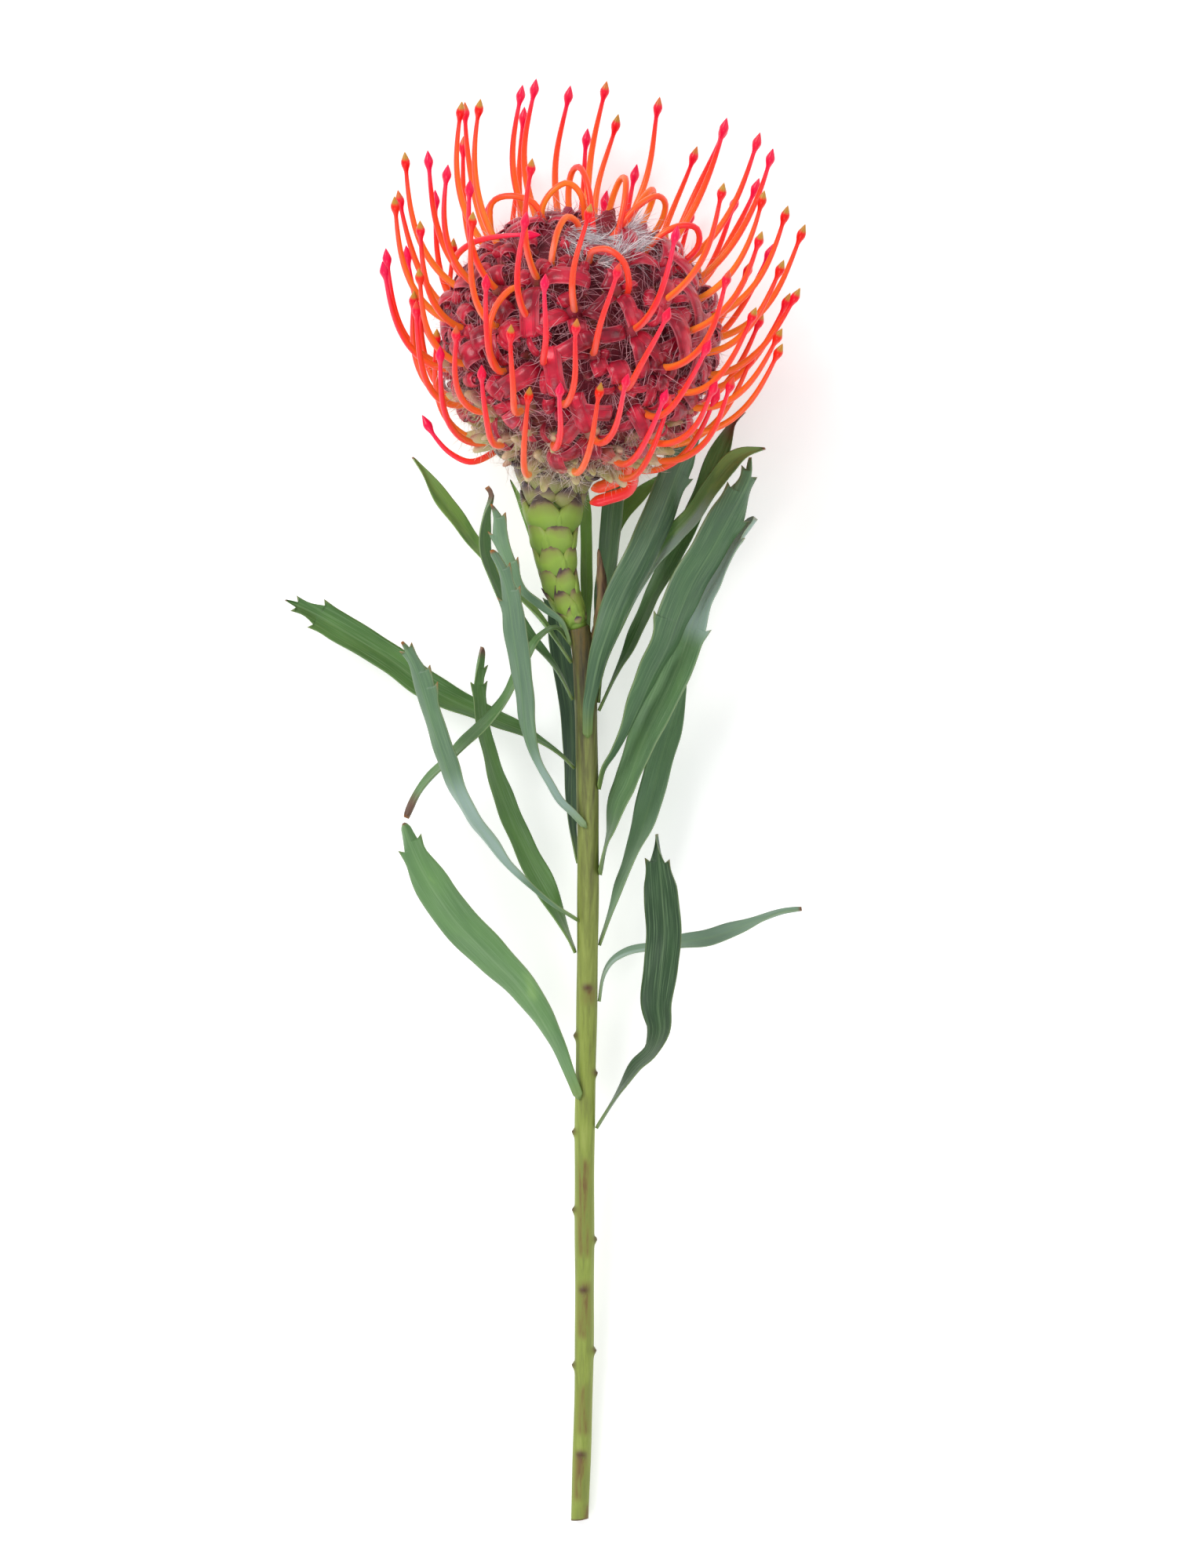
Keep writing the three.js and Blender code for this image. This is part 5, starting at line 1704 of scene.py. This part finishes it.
upper_part = add_node(
    bark_tree,
    "ShaderNodeMapRange",
    {"Value": height_in.outputs["Y"], "From Min": -0.07, "From Max": 0.04},
)
low_colour = add_node(
    bark_tree,
    "ShaderNodeValToRGB",
    {"Fac": streaks.outputs["Fac"]},
    stops=[(0.3, "#77803a"), (0.5, "#8b9a40"), (0.7, "#9aa750")],
)
high_colour = add_node(
    bark_tree,
    "ShaderNodeValToRGB",
    {"Fac": streaks.outputs["Fac"]},
    stops=[(0.32, "#43382a"), (0.48, "#62603a"), (0.66, "#7d8446")],
)
bark_mix = add_node(
    bark_tree,
    "ShaderNodeMix",
    {"Factor": upper_part.outputs["Result"], 6: low_colour.outputs["Color"], 7: high_colour.outputs["Color"]},
    data_type="RGBA",
)
stain_in, scar_in, cut_in = (
    add_node(bark_tree, "ShaderNodeAttribute", attribute_name=name) for name in ("stain", "scar", "cut")
)
broken = add_node(
    bark_tree, "ShaderNodeMapRange", {"Value": streaks.outputs["Fac"], "From Min": 0.38, "From Max": 0.6}
)
stain_amount = add_node(
    bark_tree,
    "ShaderNodeMath",
    {0: stain_in.outputs["Fac"], 1: broken.outputs["Result"]},
    operation="MULTIPLY",
)
STAIN_BROWN, CORK_BROWN, CUT_BROWN = "#74582c", "#54341f", "#6a4232"
bark_colour = bark_mix.outputs[2]
for share, code in (
    (stain_amount.outputs[0], STAIN_BROWN),
    (scar_in.outputs["Fac"], CORK_BROWN),
    (cut_in.outputs["Fac"], CUT_BROWN),
):
    layer = {"Factor": share, 6: bark_colour, 7: code}
    bark_colour = add_node(bark_tree, "ShaderNodeMix", layer, data_type="RGBA").outputs[2]
both = add_node(
    bark_tree, "ShaderNodeMath", {0: streaks.outputs["Fac"], 1: specks.outputs["Fac"]}, operation="ADD"
)
bark_bump = add_node(
    bark_tree, "ShaderNodeBump", {"Height": both.outputs[0], "Strength": 0.3, "Distance": 0.0003}
)
bark_tree.links.new(bark_colour, bark_shader.inputs["Base Color"])
bark_tree.links.new(bark_bump.outputs["Normal"], bark_shader.inputs["Normal"])
stem.data.materials.append(bark)
seat(stem, "bark", "stem")

SHOOT_POINTS = [[12.7, 43, 23], [15.2, 51, 23.4], [15.6, 61, 24.3], [14.6, 71.5, 25.2]]
SHOOT_STATIONS, SHOOT_SIDES = 30, 12
SHOOT_RADIUS, SHOOT_TIP = 2.2, 0.1
RAGGED = 0.18  # the share by which its radius varies
shoot_line = Line(SHOOT_POINTS)
shoot_rings = []
for t in np.linspace(0, 1, SHOOT_STATIONS):
    ragged_edge = 1 + RAGGED * np.cos(np.arange(SHOOT_SIDES) * 2.1 + t * 17)
    radius = (SHOOT_RADIUS * (1 - t) ** 0.55 + SHOOT_TIP) * ragged_edge
    shoot_rings.append(ring_at(shoot_line, t, radius[:, None], SHOOT_SIDES))
FIBRE_SCALE = 900.0  # fibres 1.1 mm wide
FIBRE_STRETCH = (1.0, 0.15, 1.0)  # and 7 mm long
dry, dry_tree, dry_shader = new_finish("dry_brown_bud", Roughness=0.8)
where = add_node(dry_tree, "ShaderNodeTexCoord").outputs["Object"]
stretched = add_node(dry_tree, "ShaderNodeMapping", {"Vector": where, "Scale": FIBRE_STRETCH})
fibres = add_node(
    dry_tree, "ShaderNodeTexNoise", {"Vector": stretched.outputs[0], "Scale": FIBRE_SCALE, "Detail": 3.0}
)
dry_colour = add_node(
    dry_tree,
    "ShaderNodeValToRGB",
    {"Fac": fibres.outputs["Fac"]},
    stops=[(0.3, "#4b3a2c"), (0.5, "#7d6248"), (0.7, "#8f8350")],
)
dry_tree.links.new(dry_colour.outputs["Color"], dry_shader.inputs["Base Color"])
shoot = loft("old_shoot_tip", in_frame(shoot_rings))
shoot.data.materials.append(dry)
seat(shoot, "bark")

# %% [markdown]
# ## Leaves
# A pincushion's leaf is a leathery strap with a narrow foot and a few forward teeth near its end, each with
# a tiny hard brown point. Each leaf follows its own line off the stem, with its own twist, as in the source.
# A subdivided plane could be bent into place, but the teeth would soften; instead the blade is lofted from
# closed cross-sections, placed closer together where a tooth is.

# %% The leaves' lines
# number, y and side of the foot, half-width, three turns about the middle line, teeth left and right as
# distances from the tip, spans, and points along the middle line. The spans are the foot's share of the
# half-width, the shares of the length at which the blade is full and starts to narrow, and the tip's share.
LEAVES = [
    ("01", 41, 190, 2.7, (-62, -45, -35), ((), ()), (0.3, 0.5, 0.8, 0.2),
     [(-0.4, 52.5, 18), (-10.9, 64.5, 16.5), (-17.2, 71.4, 16.5), (-23.5, 79.8, 17.5),
      (-29.6, 88.2, 18.8), (-32.3, 92.4, 19.6), (-35.1, 96.2, 20.5)]),
    ("02", 31, 180, 2.7, (-50, -58, -75), ((), ()), (0.3, 0.5, 0.78, 0.3),
     [(3.4, 39.5, 20.2), (-3.1, 47.3, 20.5), (-9.4, 55.7, 22), (-13.8, 64, 23.5), (-16.1, 73.5, 25),
      (-15.3, 80.5, 26), (-13.9, 86, 26.5), (-15.2, 88, 26.8)]),
    ("03", 46.5, 150, 2.2, (-115, -135, -150), ((4.2, 17), (9,)), (0.3, 0.5, 0.8, 0.25),
     [(4.8, 51.9, 27.5), (-0.4, 55.7, 29.5), (-5.7, 60.1, 32), (-9, 66.8, 34), (-10.7, 71.4, 35),
      (-11.8, 75.6, 36.5), (-12.4, 79.4, 37), (-13.9, 83.2, 38)]),
    ("04", -3, 95, 3.4, (-128, -150, -150), ((6, 12), (15,)), (0.3, 0.68, 0.72, 0.35),
     [(7.8, 0.8, 24), (4.6, 3.8, 25.5), (2.1, 7.6, 27.5), (-0.8, 12.6, 30), (-3.5, 18.9, 33),
      (-4.6, 25.1, 35.5), (-5.4, 33.5, 39), (-6.6, 41.8, 42), (-7.8, 50.1, 44.5), (-8.9, 58.4, 47),
      (-10.7, 64.6, 48.3), (-13.8, 70.6, 49)]),
    ("05", 12.6, 190, 4.2, (-45, -20, -15), ((3.5, 9.8), (3.5, 10.2)), (0.3, 0.48, 0.83, 0.1),
     [(4.6, 16.4, 19), (-3.5, 21.6, 17), (-12.4, 25.6, 15), (-21.4, 29.6, 13.5), (-31.2, 34.6, 12),
      (-40.9, 41.8, 11.5), (-53.2, 49.4, 11.5), (-63, 55, 12), (-69.6, 58, 12.5)]),
    ("06", -28, 140, 3.2, (-120, -140, -150), ((2.5, 9.5, 14), (3.1,)), (0.3, 0.6, 0.84, 0.15),
     [(2.3, -23.6, 21.5), (-2.1, -20, 23.5), (-9.6, -13, 27), (-16, -4.6, 31), (-19.4, 0, 33),
      (-23.7, 8.4, 35.5), (-26.1, 15.7, 38), (-29.2, 25.1, 40.5), (-31.6, 33.4, 42.5),
      (-34.3, 40.7, 43.5), (-37.6, 46.3, 44.5)]),
    ("07", -37, 185, 3.7, (-30, -55, -45), ((10.3,), (5.9, 10.5)), (0.65, 0.3, 0.6, 0.3),
     [(5.2, -29.5, 15.5), (1.2, -21.1, 16), (-3.4, -12.7, 16.8), (-7.4, -4.2, 17.5), (-10.9, 4.2, 18.5),
      (-13.7, 12.6, 19.5), (-15.9, 21, 20.5), (-17.4, 29.4, 21.5), (-17.5, 37.8, 22.5),
      (-16.4, 45.2, 23.5)]),
    ("08", 46, 215, 3, (-60, -65, -70), ((), ()), (0.3, 0.5, 0.78, 0.3),
     [(3.4, 50.5, 21.5), (-1.5, 47.6, 24.5), (-6, 39.7, 26.5), (-11.9, 28.9, 27), (-17.7, 22.8, 27),
      (-24, 16.6, 27), (-33.4, 6.7, 26), (-36.8, -0.6, 25)]),
    ("09", -76, 120, 5.2, (-150, -165, -165), ((5.4,), (7.6,)), (0.3, 0.57, 0.78, 0.25),
     [(7.1, -69.8, 16.5), (3.2, -60.5, 19.5), (-1.3, -52.7, 21), (-5.7, -46.4, 22.5),
      (-14.4, -37.3, 24.5), (-23.3, -28.1, 26), (-29.6, -19.2, 27.3), (-33, -13.1, 28),
      (-35.6, -7.3, 28.5), (-37.5, -1.9, 29)]),
    ("10", -13, 215, 2.9, (-20, -10, 0), ((5,), (8,)), (0.3, 0.5, 0.78, 0.42),
     [(7.6, -2.1, 13), (7.4, 8.4, 11), (7.6, 18.9, 9.5), (7, 29.4, 8.5), (5.1, 39.9, 8), (3.6, 50.4, 8),
      (2.1, 63, 8.5)]),
    ("11", 42, 245, 1.2, (-10, 0, 10), ((), ()), (0.3, 0.5, 0.8, 0.2),
     [(6.1, 48.5, 15.5), (2.9, 57, 14), (0.4, 65.4, 13), (-2.4, 73.8, 12), (-4.5, 80.2, 11.7),
      (-6.2, 84.4, 11.5), (-9.1, 90.5, 11.5)]),
    ("12", 37, 292, 1.6, (20, 10, 10), ((), ()), (0.3, 0.5, 0.8, 0.3),
     [(11.6, 50.4, 16.5), (11.5, 65.1, 15), (11.4, 75.6, 14), (11.3, 84, 13.5), (11.2, 90, 13)]),
    ("13", 30, 350, 3.1, (50, 30, 30), ((), ()), (0.3, 0.5, 0.85, 0.4),
     [(15.2, 39.9, 20), (15.7, 50.4, 19), (16.4, 60.9, 18), (17.6, 71.4, 17.5), (18.5, 81.9, 17.5),
      (19.7, 88.6, 18), (20.8, 93, 18.5)]),
    ("14", 24, 300, 2.1, (30, 15, 10), ((), ()), (0.3, 0.5, 0.88, 0.3),
     [(14.2, 38, 15), (15.8, 52.5, 11.5), (16.9, 65, 10.5), (18.1, 75.4, 9.5), (21.2, 81.3, 9),
      (24, 84.6, 9), (27.2, 87.8, 9), (31.6, 91.6, 9.2)]),
    ("15", 21, 85, 4.6, (165, 155, 150), ((12.9,), (9,)), (0.3, 0.56, 0.9, 0.15),
     [(12, 29.4, 27.5), (12.8, 33.6, 28.3), (14.5, 41.9, 29.5), (17.2, 50.3, 30), (20.4, 58.7, 30),
      (24.8, 67.1, 29.3), (28.8, 75.5, 27.5), (32.3, 84, 25), (35.5, 92.5, 21.5), (37.6, 96.8, 19.5),
      (42.1, 102.8, 17)]),
    ("16", 28, 5, 2.9, (50, 25, 20), ((), ()), (0.3, 0.35, 0.84, 0.1),
     [(18.3, 36.1, 20.5), (22.9, 44.9, 19), (26.9, 54, 18), (31.6, 64, 17), (35.7, 71.8, 16),
      (39.9, 80.2, 15), (43.5, 88.2, 14), (46, 94.9, 13), (49.2, 101.9, 12), (51, 105.5, 12),
      (54, 108.5, 13.5)]),
    ("17", 34, 15, 2.9, (74, 32, 38), ((), ()), (0.3, 0.62, 0.86, 0.2),
     [(16.6, 42, 23.5), (20.2, 50.4, 23.2), (23.9, 58.2, 23), (27.5, 64.1, 22.7), (31.5, 70.8, 22.5),
      (35.5, 75.7, 22.8), (39.3, 79.8, 23), (45.4, 88.6, 24.3), (49.2, 93.6, 25.2), (53.4, 96.8, 26),
      (59.2, 98.4, 27)]),
    ("18", 7, 20, 5.4, (120, 150, 155), ((5.5, 16.5), (3.7, 10, 48.5)), (0.3, 0.45, 0.8, 0.1),
     [(16, 12.6, 22), (18.7, 16.8, 23), (21, 21, 24.2), (24.6, 29.4, 26.3), (28.3, 37.8, 28.3),
      (32.5, 46.1, 30), (35.6, 54.5, 31.2), (39.4, 62.9, 32), (44.4, 71.2, 32.5), (49, 79.6, 33),
      (53.4, 88, 33), (54.9, 92.1, 33), (55.1, 95.7, 33)]),
    ("19", -16, 10, 5, (45, 20, 70), ((), (7, 34)), (0.7, 0.4, 0.55, 0.45),
     [(16.4, -8.4, 18.5), (17.9, -4.2, 18.7), (20.1, 4.2, 19), (22.1, 8.4, 19.3), (25.2, 16.8, 20.2),
      (28.8, 25.2, 21.3), (33, 33.6, 22.5), (36.5, 42, 23.6), (39.3, 50.4, 24.7), (42.2, 57.8, 25.6),
      (45.8, 63, 26.3), (50.2, 71.4, 27.2), (53.1, 75.6, 27.6), (56.5, 79.8, 28)]),
    ("20", -35, 345, 3.75, (60, 20, 10), ((5,), ()), (0.3, 0.5, 0.78, 0.42),
     [(17.6, -26.9, 15.3), (19.9, -20.6, 14.5), (22.4, -13.7, 13.5), (25.4, -6.3, 12.5), (28.1, 2.3, 12),
      (30.2, 10.5, 12), (32.5, 18.9, 12), (35.3, 28.4, 12), (37.3, 36.8, 12.5)]),
    ("21", -84, 10, 4.8, (66, 10, 38), ((7.4,), (7.8,)), (0.3, 0.35, 0.83, 0.02),
     [(18.1, -77.3, 14), (21.6, -72, 16), (25, -67.2, 18), (28.8, -63.2, 20), (30.9, -57.8, 22),
      (30.4, -50.4, 24), (31.5, -39.9, 26), (32.2, -31.5, 28), (31.7, -23.1, 29), (30.9, -14.3, 30),
      (30, -4.9, 31)]),
    ("22", -50, 0, 2.5, (60, 35, 60), ((), ()), (0.3, 0.45, 0.66, 0.2),
     [(15.8, -43.3, 14.5), (18.1, -39.3, 14), (22.1, -36.8, 13.5), (30, -35.3, 13), (37.4, -34, 12.5),
      (44.7, -32.8, 12), (52.1, -30.3, 12), (58.8, -27.7, 12.5), (64.7, -25.6, 13), (69.3, -25, 13)]),
]

# how light the green is, how much grey bloom it has, its dry tip in mm, and how brown its hard points are
LEAF_LOOKS = {
    "01": (0.75, 0.0, 0.6, 0.3),
    "02": (0.5, 0.1, 6, 0.6),
    "03": (0.5, 0.2, 2, 1.0),
    "04": (0.35, 0.15, 1, 0.8),
    "05": (0.5, 0.0, 0.6, 0.2),
    "06": (0.4, 0.1, 1, 0.8),
    "07": (0.6, 0.0, 3, 0.2),
    "08": (0.55, 0.05, 9, 0.6),
    "09": (0.62, 0.0, 0.6, 0.2),
    "10": (0.05, 0.1, 0, 0.2),
    "11": (0.8, 0.0, 0, 0.2),
    # leaf 12's light green is partly its own and partly painted light, since its blade lies in shade
    "12": (0.95, 0.0, 0, 0.2),
    "13": (0.35, 0.1, 0, 0.2),
    "14": (1.0, 0.0, 0, 0.3),
    "15": (0.25, 0.0, 0, 0.2),
    "16": (0.45, 0.0, 11, 0.2),
    "17": (0.72, 0.05, 1, 0.4),
    "18": (0.3, 0.0, 0, 0.2),
    "19": (0.5, 0.1, 0, 0.2),
    "20": (0.55, 0.25, 0, 0.2),
    "21": (0.08, 0.0, 0, 0.2),
    "22": (0.5, 0.45, 1, 0.2),
}

# where the silvery lower side shows: from and to along the leaf in mm, and the side it is on, or 0 for both
SILVERED = {
    # on leaf 04 the pale silver near the foot is partly its bloom and partly a painted highlight
    "04": (0, 22, 0),
    "06": (22, 50, 0),
    "17": (26, 56, 1),
    "19": (72, 112, 0),
    "22": (0, 24, 1),
}
print("leaves:", len(LEAVES), "of which", len(SILVERED), "show their silvery lower side in part")

# %% The outline of a leaf
FOOT_GAP = 0.3
TOOTH = 1.5  # how far a tooth stands out, mm
TOOTH_LENGTH = 5  # over which it grows, mm
TOOTH_LEAN = 1.1  # how far it points forward, mm
LEAF_STEP = 1.3
TIP_STATIONS = (-1.2, -0.7, -0.3, 0)  # more cross-sections near the tip, mm from it
TOOTH_STATIONS = (-1.8, -1.0, -0.4, 0, 0.12, 0.5)  # and near the point of a tooth, mm from it
LEAST_STEP = 0.08
COLUMNS = 13
SILVER_SHARE = 0.8
TURN_PLACES = (0.25, 0.66)  # the places along a leaf at which it has its first and its second turn


def edge_at(distance, length, half, spans, teeth):
    """Half-width at a distance from the foot: a narrow foot, a long blade and forward teeth."""
    t = distance / length
    foot, full, wane, end = spans
    width = half * lerp(foot, 1, smooth(t, 0.02, full)) * lerp(1, end, smooth(t, wane, 1))
    width *= math.sqrt(min(1.0, (length - distance) / 1.6 + 0.03) * min(1.0, distance / 1.5 + 0.05))
    for from_tip in teeth:
        grown = (distance - (length - from_tip - TOOTH_LENGTH)) / TOOTH_LENGTH
        if 0 < grown <= 1:
            width += TOOTH * grown**2.2
    return width


def leaf_stations(length, teeth):
    """Distances from the foot at which the blade has a cross-section."""
    distances = [*np.arange(0, length, LEAF_STEP), *(length + step for step in TIP_STATIONS)]
    for from_tip in (*teeth[0], *teeth[1]):
        distances += [length - from_tip + step for step in TOOTH_STATIONS]
    distances = sorted(distances)
    return [d for k, d in enumerate(distances) if k == 0 or d - distances[k - 1] > LEAST_STEP]


def leaf_foot(y, degrees):
    """Where a leaf leaves the stem, and the direction across the stem there."""
    t = stem_place(y)
    side, front = level_frame(stem_line.heading(t))
    out = side * math.cos(math.radians(degrees)) + front * math.sin(math.radians(degrees))
    foot = stem_line.at(t) + out * (stem_radius(t) + FOOT_GAP)
    return foot, np.cross(out, np.cross(front, side))


def first_turn(line, across_stem, wanted):
    """The turn at which a blade lies across the stem, in degrees, within half a turn of the one wanted."""
    side, front = level_frame(line.heading(0.0))
    turn = math.degrees(math.atan2(across_stem @ front, across_stem @ side))
    return turn + 360 * round((wanted - turn) / 360)


def turn_at(t, first, turns):
    """The turn of the blade about its middle line, in degrees."""
    early, late = TURN_PLACES
    if t < early:
        return lerp(first, turns[0], smooth(t, 0, early))
    if t < late:
        return lerp(turns[0], turns[1], smooth(t, early, late))
    return lerp(turns[1], turns[2], smooth(t, late, 1))


def hardness(distance, length, s, teeth):
    """How hard each point of a cross-section is, which is 1 at the point of a tooth."""
    hard = np.zeros(COLUMNS)
    for sign, row in zip((-1, 1), teeth):
        for from_tip in row:
            before = length - from_tip - distance
            near = math.exp(-((before / 0.8) ** 2)) if before > -0.05 else 0
            hard = np.maximum(hard, near * smooth(s * sign, 0.86, 1.0))
    return hard


def silvering(number, distance, s, bloom):
    """How silvery each point of a cross-section is: its bloom, and more where the lower side shows."""
    start, end, side = SILVERED.get(number, (0, 0, 0))
    reached = smooth(distance, start - 6, start + 2) * smooth(end - distance, -8, 2)
    shown = reached * (smooth(s * side, -0.15, 0.15) if side else np.ones(COLUMNS))
    return bloom + (1 - bloom) * SILVER_SHARE * (shown if end else 0 * s)


# %% The blade of a leaf
EDGE_THICKNESS, RIB_THICKNESS = 0.34, 0.8
DISH = 0.12  # how hollow a blade is, as a share of its half-width
RIPPLE, RIPPLE_RATE = 0.28, 0.23  # one edge up and the other down: mm, and radians for each mm
CUPPING, CUPPING_RATE = 0.16, 0.51  # both edges up or down: the same
GROOVE, KEEL = 0.12, 0.22  # how deep the midrib lies above, and how far it stands out below, mm


def make_leaf(number, y, degrees, half, turns, teeth, spans, path):
    tone, bloom, dry_tip, points = LEAF_LOOKS[number]
    foot, across_stem = leaf_foot(y, degrees)
    line = Line([foot, *path])
    length = line.length
    first = first_turn(line, across_stem, turns[0])
    draws = Draws(int(number) * 131)
    wave = [draws.next() * 6.28 for _ in range(2)]
    s = np.linspace(-1, 1, COLUMNS)
    s = np.sign(s) * np.abs(s) ** 0.85
    rings, place, margin, callus, browned, silver = [], [], [], [], [], []
    for distance in leaf_stations(length, teeth):
        t = distance / length
        middle = line.at(t)
        level, front = level_frame(line.heading(t))
        turn = math.radians(turn_at(t, first, turns))
        across = level * math.cos(turn) + front * math.sin(turn)
        upper = front * math.cos(turn) - level * math.sin(turn)
        left = edge_at(distance, length, half, spans, teeth[0])
        right = edge_at(distance, length, half, spans, teeth[1])
        dish = DISH * half * smooth(t, 0.05, 0.3)
        reach = np.where(s < 0, left, right) * s
        ripple = RIPPLE * math.sin(distance * RIPPLE_RATE + wave[0]) * s
        ripple = ripple + CUPPING * math.sin(distance * CUPPING_RATE + wave[1]) * s**2
        bend = dish * (2 * s**2 - 1) + ripple * smooth(t, 0.08, 0.3)
        hard = hardness(distance, length, s, teeth)
        middle = middle + np.outer(hard * TOOTH_LEAN, line.heading(t))
        rib = np.exp(-((reach / 0.55) ** 2))
        thick = lerp(RIB_THICKNESS, EDGE_THICKNESS, s**2) / 2 * lerp(0.45, 1, smooth(length - distance, 0, 4))
        top = bend + thick - GROOVE * rib
        under = bend - thick - KEEL * rib
        top_points = middle + np.outer(reach, across) + np.outer(top, upper)
        under_points = middle + np.outer(reach, across) + np.outer(under, upper)
        rings.append(np.concatenate([top_points, under_points[::-1]]))
        both = np.concatenate([reach, reach[::-1]])
        lower = np.repeat([0.0, 1.0], COLUMNS)
        place.append(np.stack([both, np.full(len(both), distance), lower], 1))
        margin.append(np.abs(np.concatenate([s, s[::-1]])))
        hard = points * np.maximum(hard, smooth(distance, length - 0.9, length - 0.3))
        callus.append(np.concatenate([hard, hard[::-1]]))
        brown = smooth(distance, length - dry_tip, length - dry_tip * 0.4) if dry_tip else 0.0
        browned.append(np.full(2 * COLUMNS, brown))
        pale = silvering(number, distance, s, bloom)
        silver.append(np.concatenate([pale, pale[::-1]]))
    count = len(rings) * 2 * COLUMNS
    leaf = loft(
        f"leaf_blade_{number}",
        in_frame(rings),
        blade=np.reshape(place, (-1, 3)),
        margin=np.ravel(margin),
        callus=np.ravel(callus),
        dry=np.ravel(browned),
        tone=np.full(count, tone),
        bloom=np.ravel(silver),
    )
    leaf.data.materials.append(leather)
    seat(leaf, "leaf", f"leaf_{number}")


# %% [markdown]
# The leaf's skin is leathery and a little waxy, so it has a broad dim shine. Its veins run nearly parallel
# along the blade, so a noise pattern is squeezed across the blade and stretched along it.
# Some leaves carry a blue-grey bloom, and the lower face is paler. The margin is thin and pale, and the
# points of the teeth are hard and brown. These patterns are measured in mm on the blade itself.

# %% Leathery leaf and its blades
VEINS = (3.2, 0.07, 1.0)  # to a mm: veins 0.3 mm apart and 14 mm long
LEAF_PATCHES = (0.16, 0.05, 1.0)  # to a mm: patches 6 mm wide and 20 mm long
leather, leaf_tree, leaf_shader = new_finish("leathery_leaf", Roughness=0.42)
LEAF_VALUES = ("blade", "tone", "bloom", "margin", "callus", "dry")
blade_in, tone_in, bloom_in, margin_in, callus_in, dry_in = (
    add_node(leaf_tree, "ShaderNodeAttribute", attribute_name=name) for name in LEAF_VALUES
)
parts = add_node(leaf_tree, "ShaderNodeSeparateXYZ", {"Vector": blade_in.outputs["Vector"]})
fine = add_node(leaf_tree, "ShaderNodeMapping", {"Vector": blade_in.outputs["Vector"], "Scale": VEINS})
veins = add_node(leaf_tree, "ShaderNodeTexNoise", {"Vector": fine.outputs[0], "Scale": 1.0, "Detail": 2.0})
on_patches = {"Vector": blade_in.outputs["Vector"], "Scale": LEAF_PATCHES}
wide = add_node(leaf_tree, "ShaderNodeMapping", on_patches)
patches = add_node(leaf_tree, "ShaderNodeTexNoise", {"Vector": wide.outputs[0], "Scale": 1.0, "Detail": 3.0})
tone_mixed = add_node(
    leaf_tree,
    "ShaderNodeMath",
    {0: patches.outputs["Fac"], 1: 0.5, 2: tone_in.outputs["Fac"]},
    operation="MULTIPLY_ADD",
)
green = add_node(
    leaf_tree,
    "ShaderNodeValToRGB",
    {"Fac": tone_mixed.outputs[0]},
    stops=[(0.2, "#203a22"), (0.45, "#31532c"), (0.7, "#466e35"), (0.95, "#638f45"), (1.2, "#80a854")],
)
lower_share = add_node(leaf_tree, "ShaderNodeMath", {0: parts.outputs["Z"], 1: 0.16}, operation="MULTIPLY")
vein_light = add_node(
    leaf_tree,
    "ShaderNodeMapRange",
    {"Value": veins.outputs["Fac"], "From Min": 0.48, "From Max": 0.72, "To Max": 0.34},
)
from_rib = add_node(leaf_tree, "ShaderNodeMath", {0: parts.outputs["X"]}, operation="ABSOLUTE")
rib_share = add_node(
    leaf_tree,
    "ShaderNodeMapRange",
    {"Value": from_rib.outputs[0], "From Min": 0.06, "From Max": 0.35, "To Min": 0.22, "To Max": 0.0},
)
margin_share = add_node(
    leaf_tree,
    "ShaderNodeMapRange",
    {"Value": margin_in.outputs["Fac"], "From Min": 0.93, "From Max": 1.0, "To Max": 0.3},
)
foot_share = add_node(
    leaf_tree,
    "ShaderNodeMapRange",
    {"Value": parts.outputs["Y"], "From Max": 9.0, "To Min": 0.75, "To Max": 0.0},
)
# from the skin up: the bloom, the lower face, veins, midrib, margin, foot, dry tip and hard points
leaf_colour = green.outputs["Color"]
for share, code in (
    (bloom_in.outputs["Fac"], "#9db4ac"),
    (lower_share.outputs[0], "#7d9a8a"),
    (vein_light.outputs["Result"], "#86a878"),
    (rib_share.outputs["Result"], "#8fae7c"),
    (margin_share.outputs["Result"], "#a8b878"),
    (foot_share.outputs["Result"], "#78903f"),
    (dry_in.outputs["Fac"], "#6e5140"),
    (callus_in.outputs["Fac"], "#b0702f"),
):
    layer = {"Factor": share, 6: leaf_colour, 7: code}
    leaf_colour = add_node(leaf_tree, "ShaderNodeMix", layer, data_type="RGBA").outputs[2]
leaf_bump = add_node(
    leaf_tree, "ShaderNodeBump", {"Height": veins.outputs["Fac"], "Strength": 0.35, "Distance": 0.0003}
)
leaf_tree.links.new(leaf_colour, leaf_shader.inputs["Base Color"])
leaf_tree.links.new(leaf_bump.outputs["Normal"], leaf_shader.inputs["Normal"])

for leaf_values in LEAVES:
    make_leaf(*leaf_values)

# %% [markdown]
# ## Sizes and the end
# The dressed flower has to keep the plain model's size. The box round all that it shows is printed, in mm.

# %% Sizes
drop(HAIR_SHAPES)
low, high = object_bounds()
print("visual box, mm:", [round(v * 1000, 1) for v in (*low, *high)])
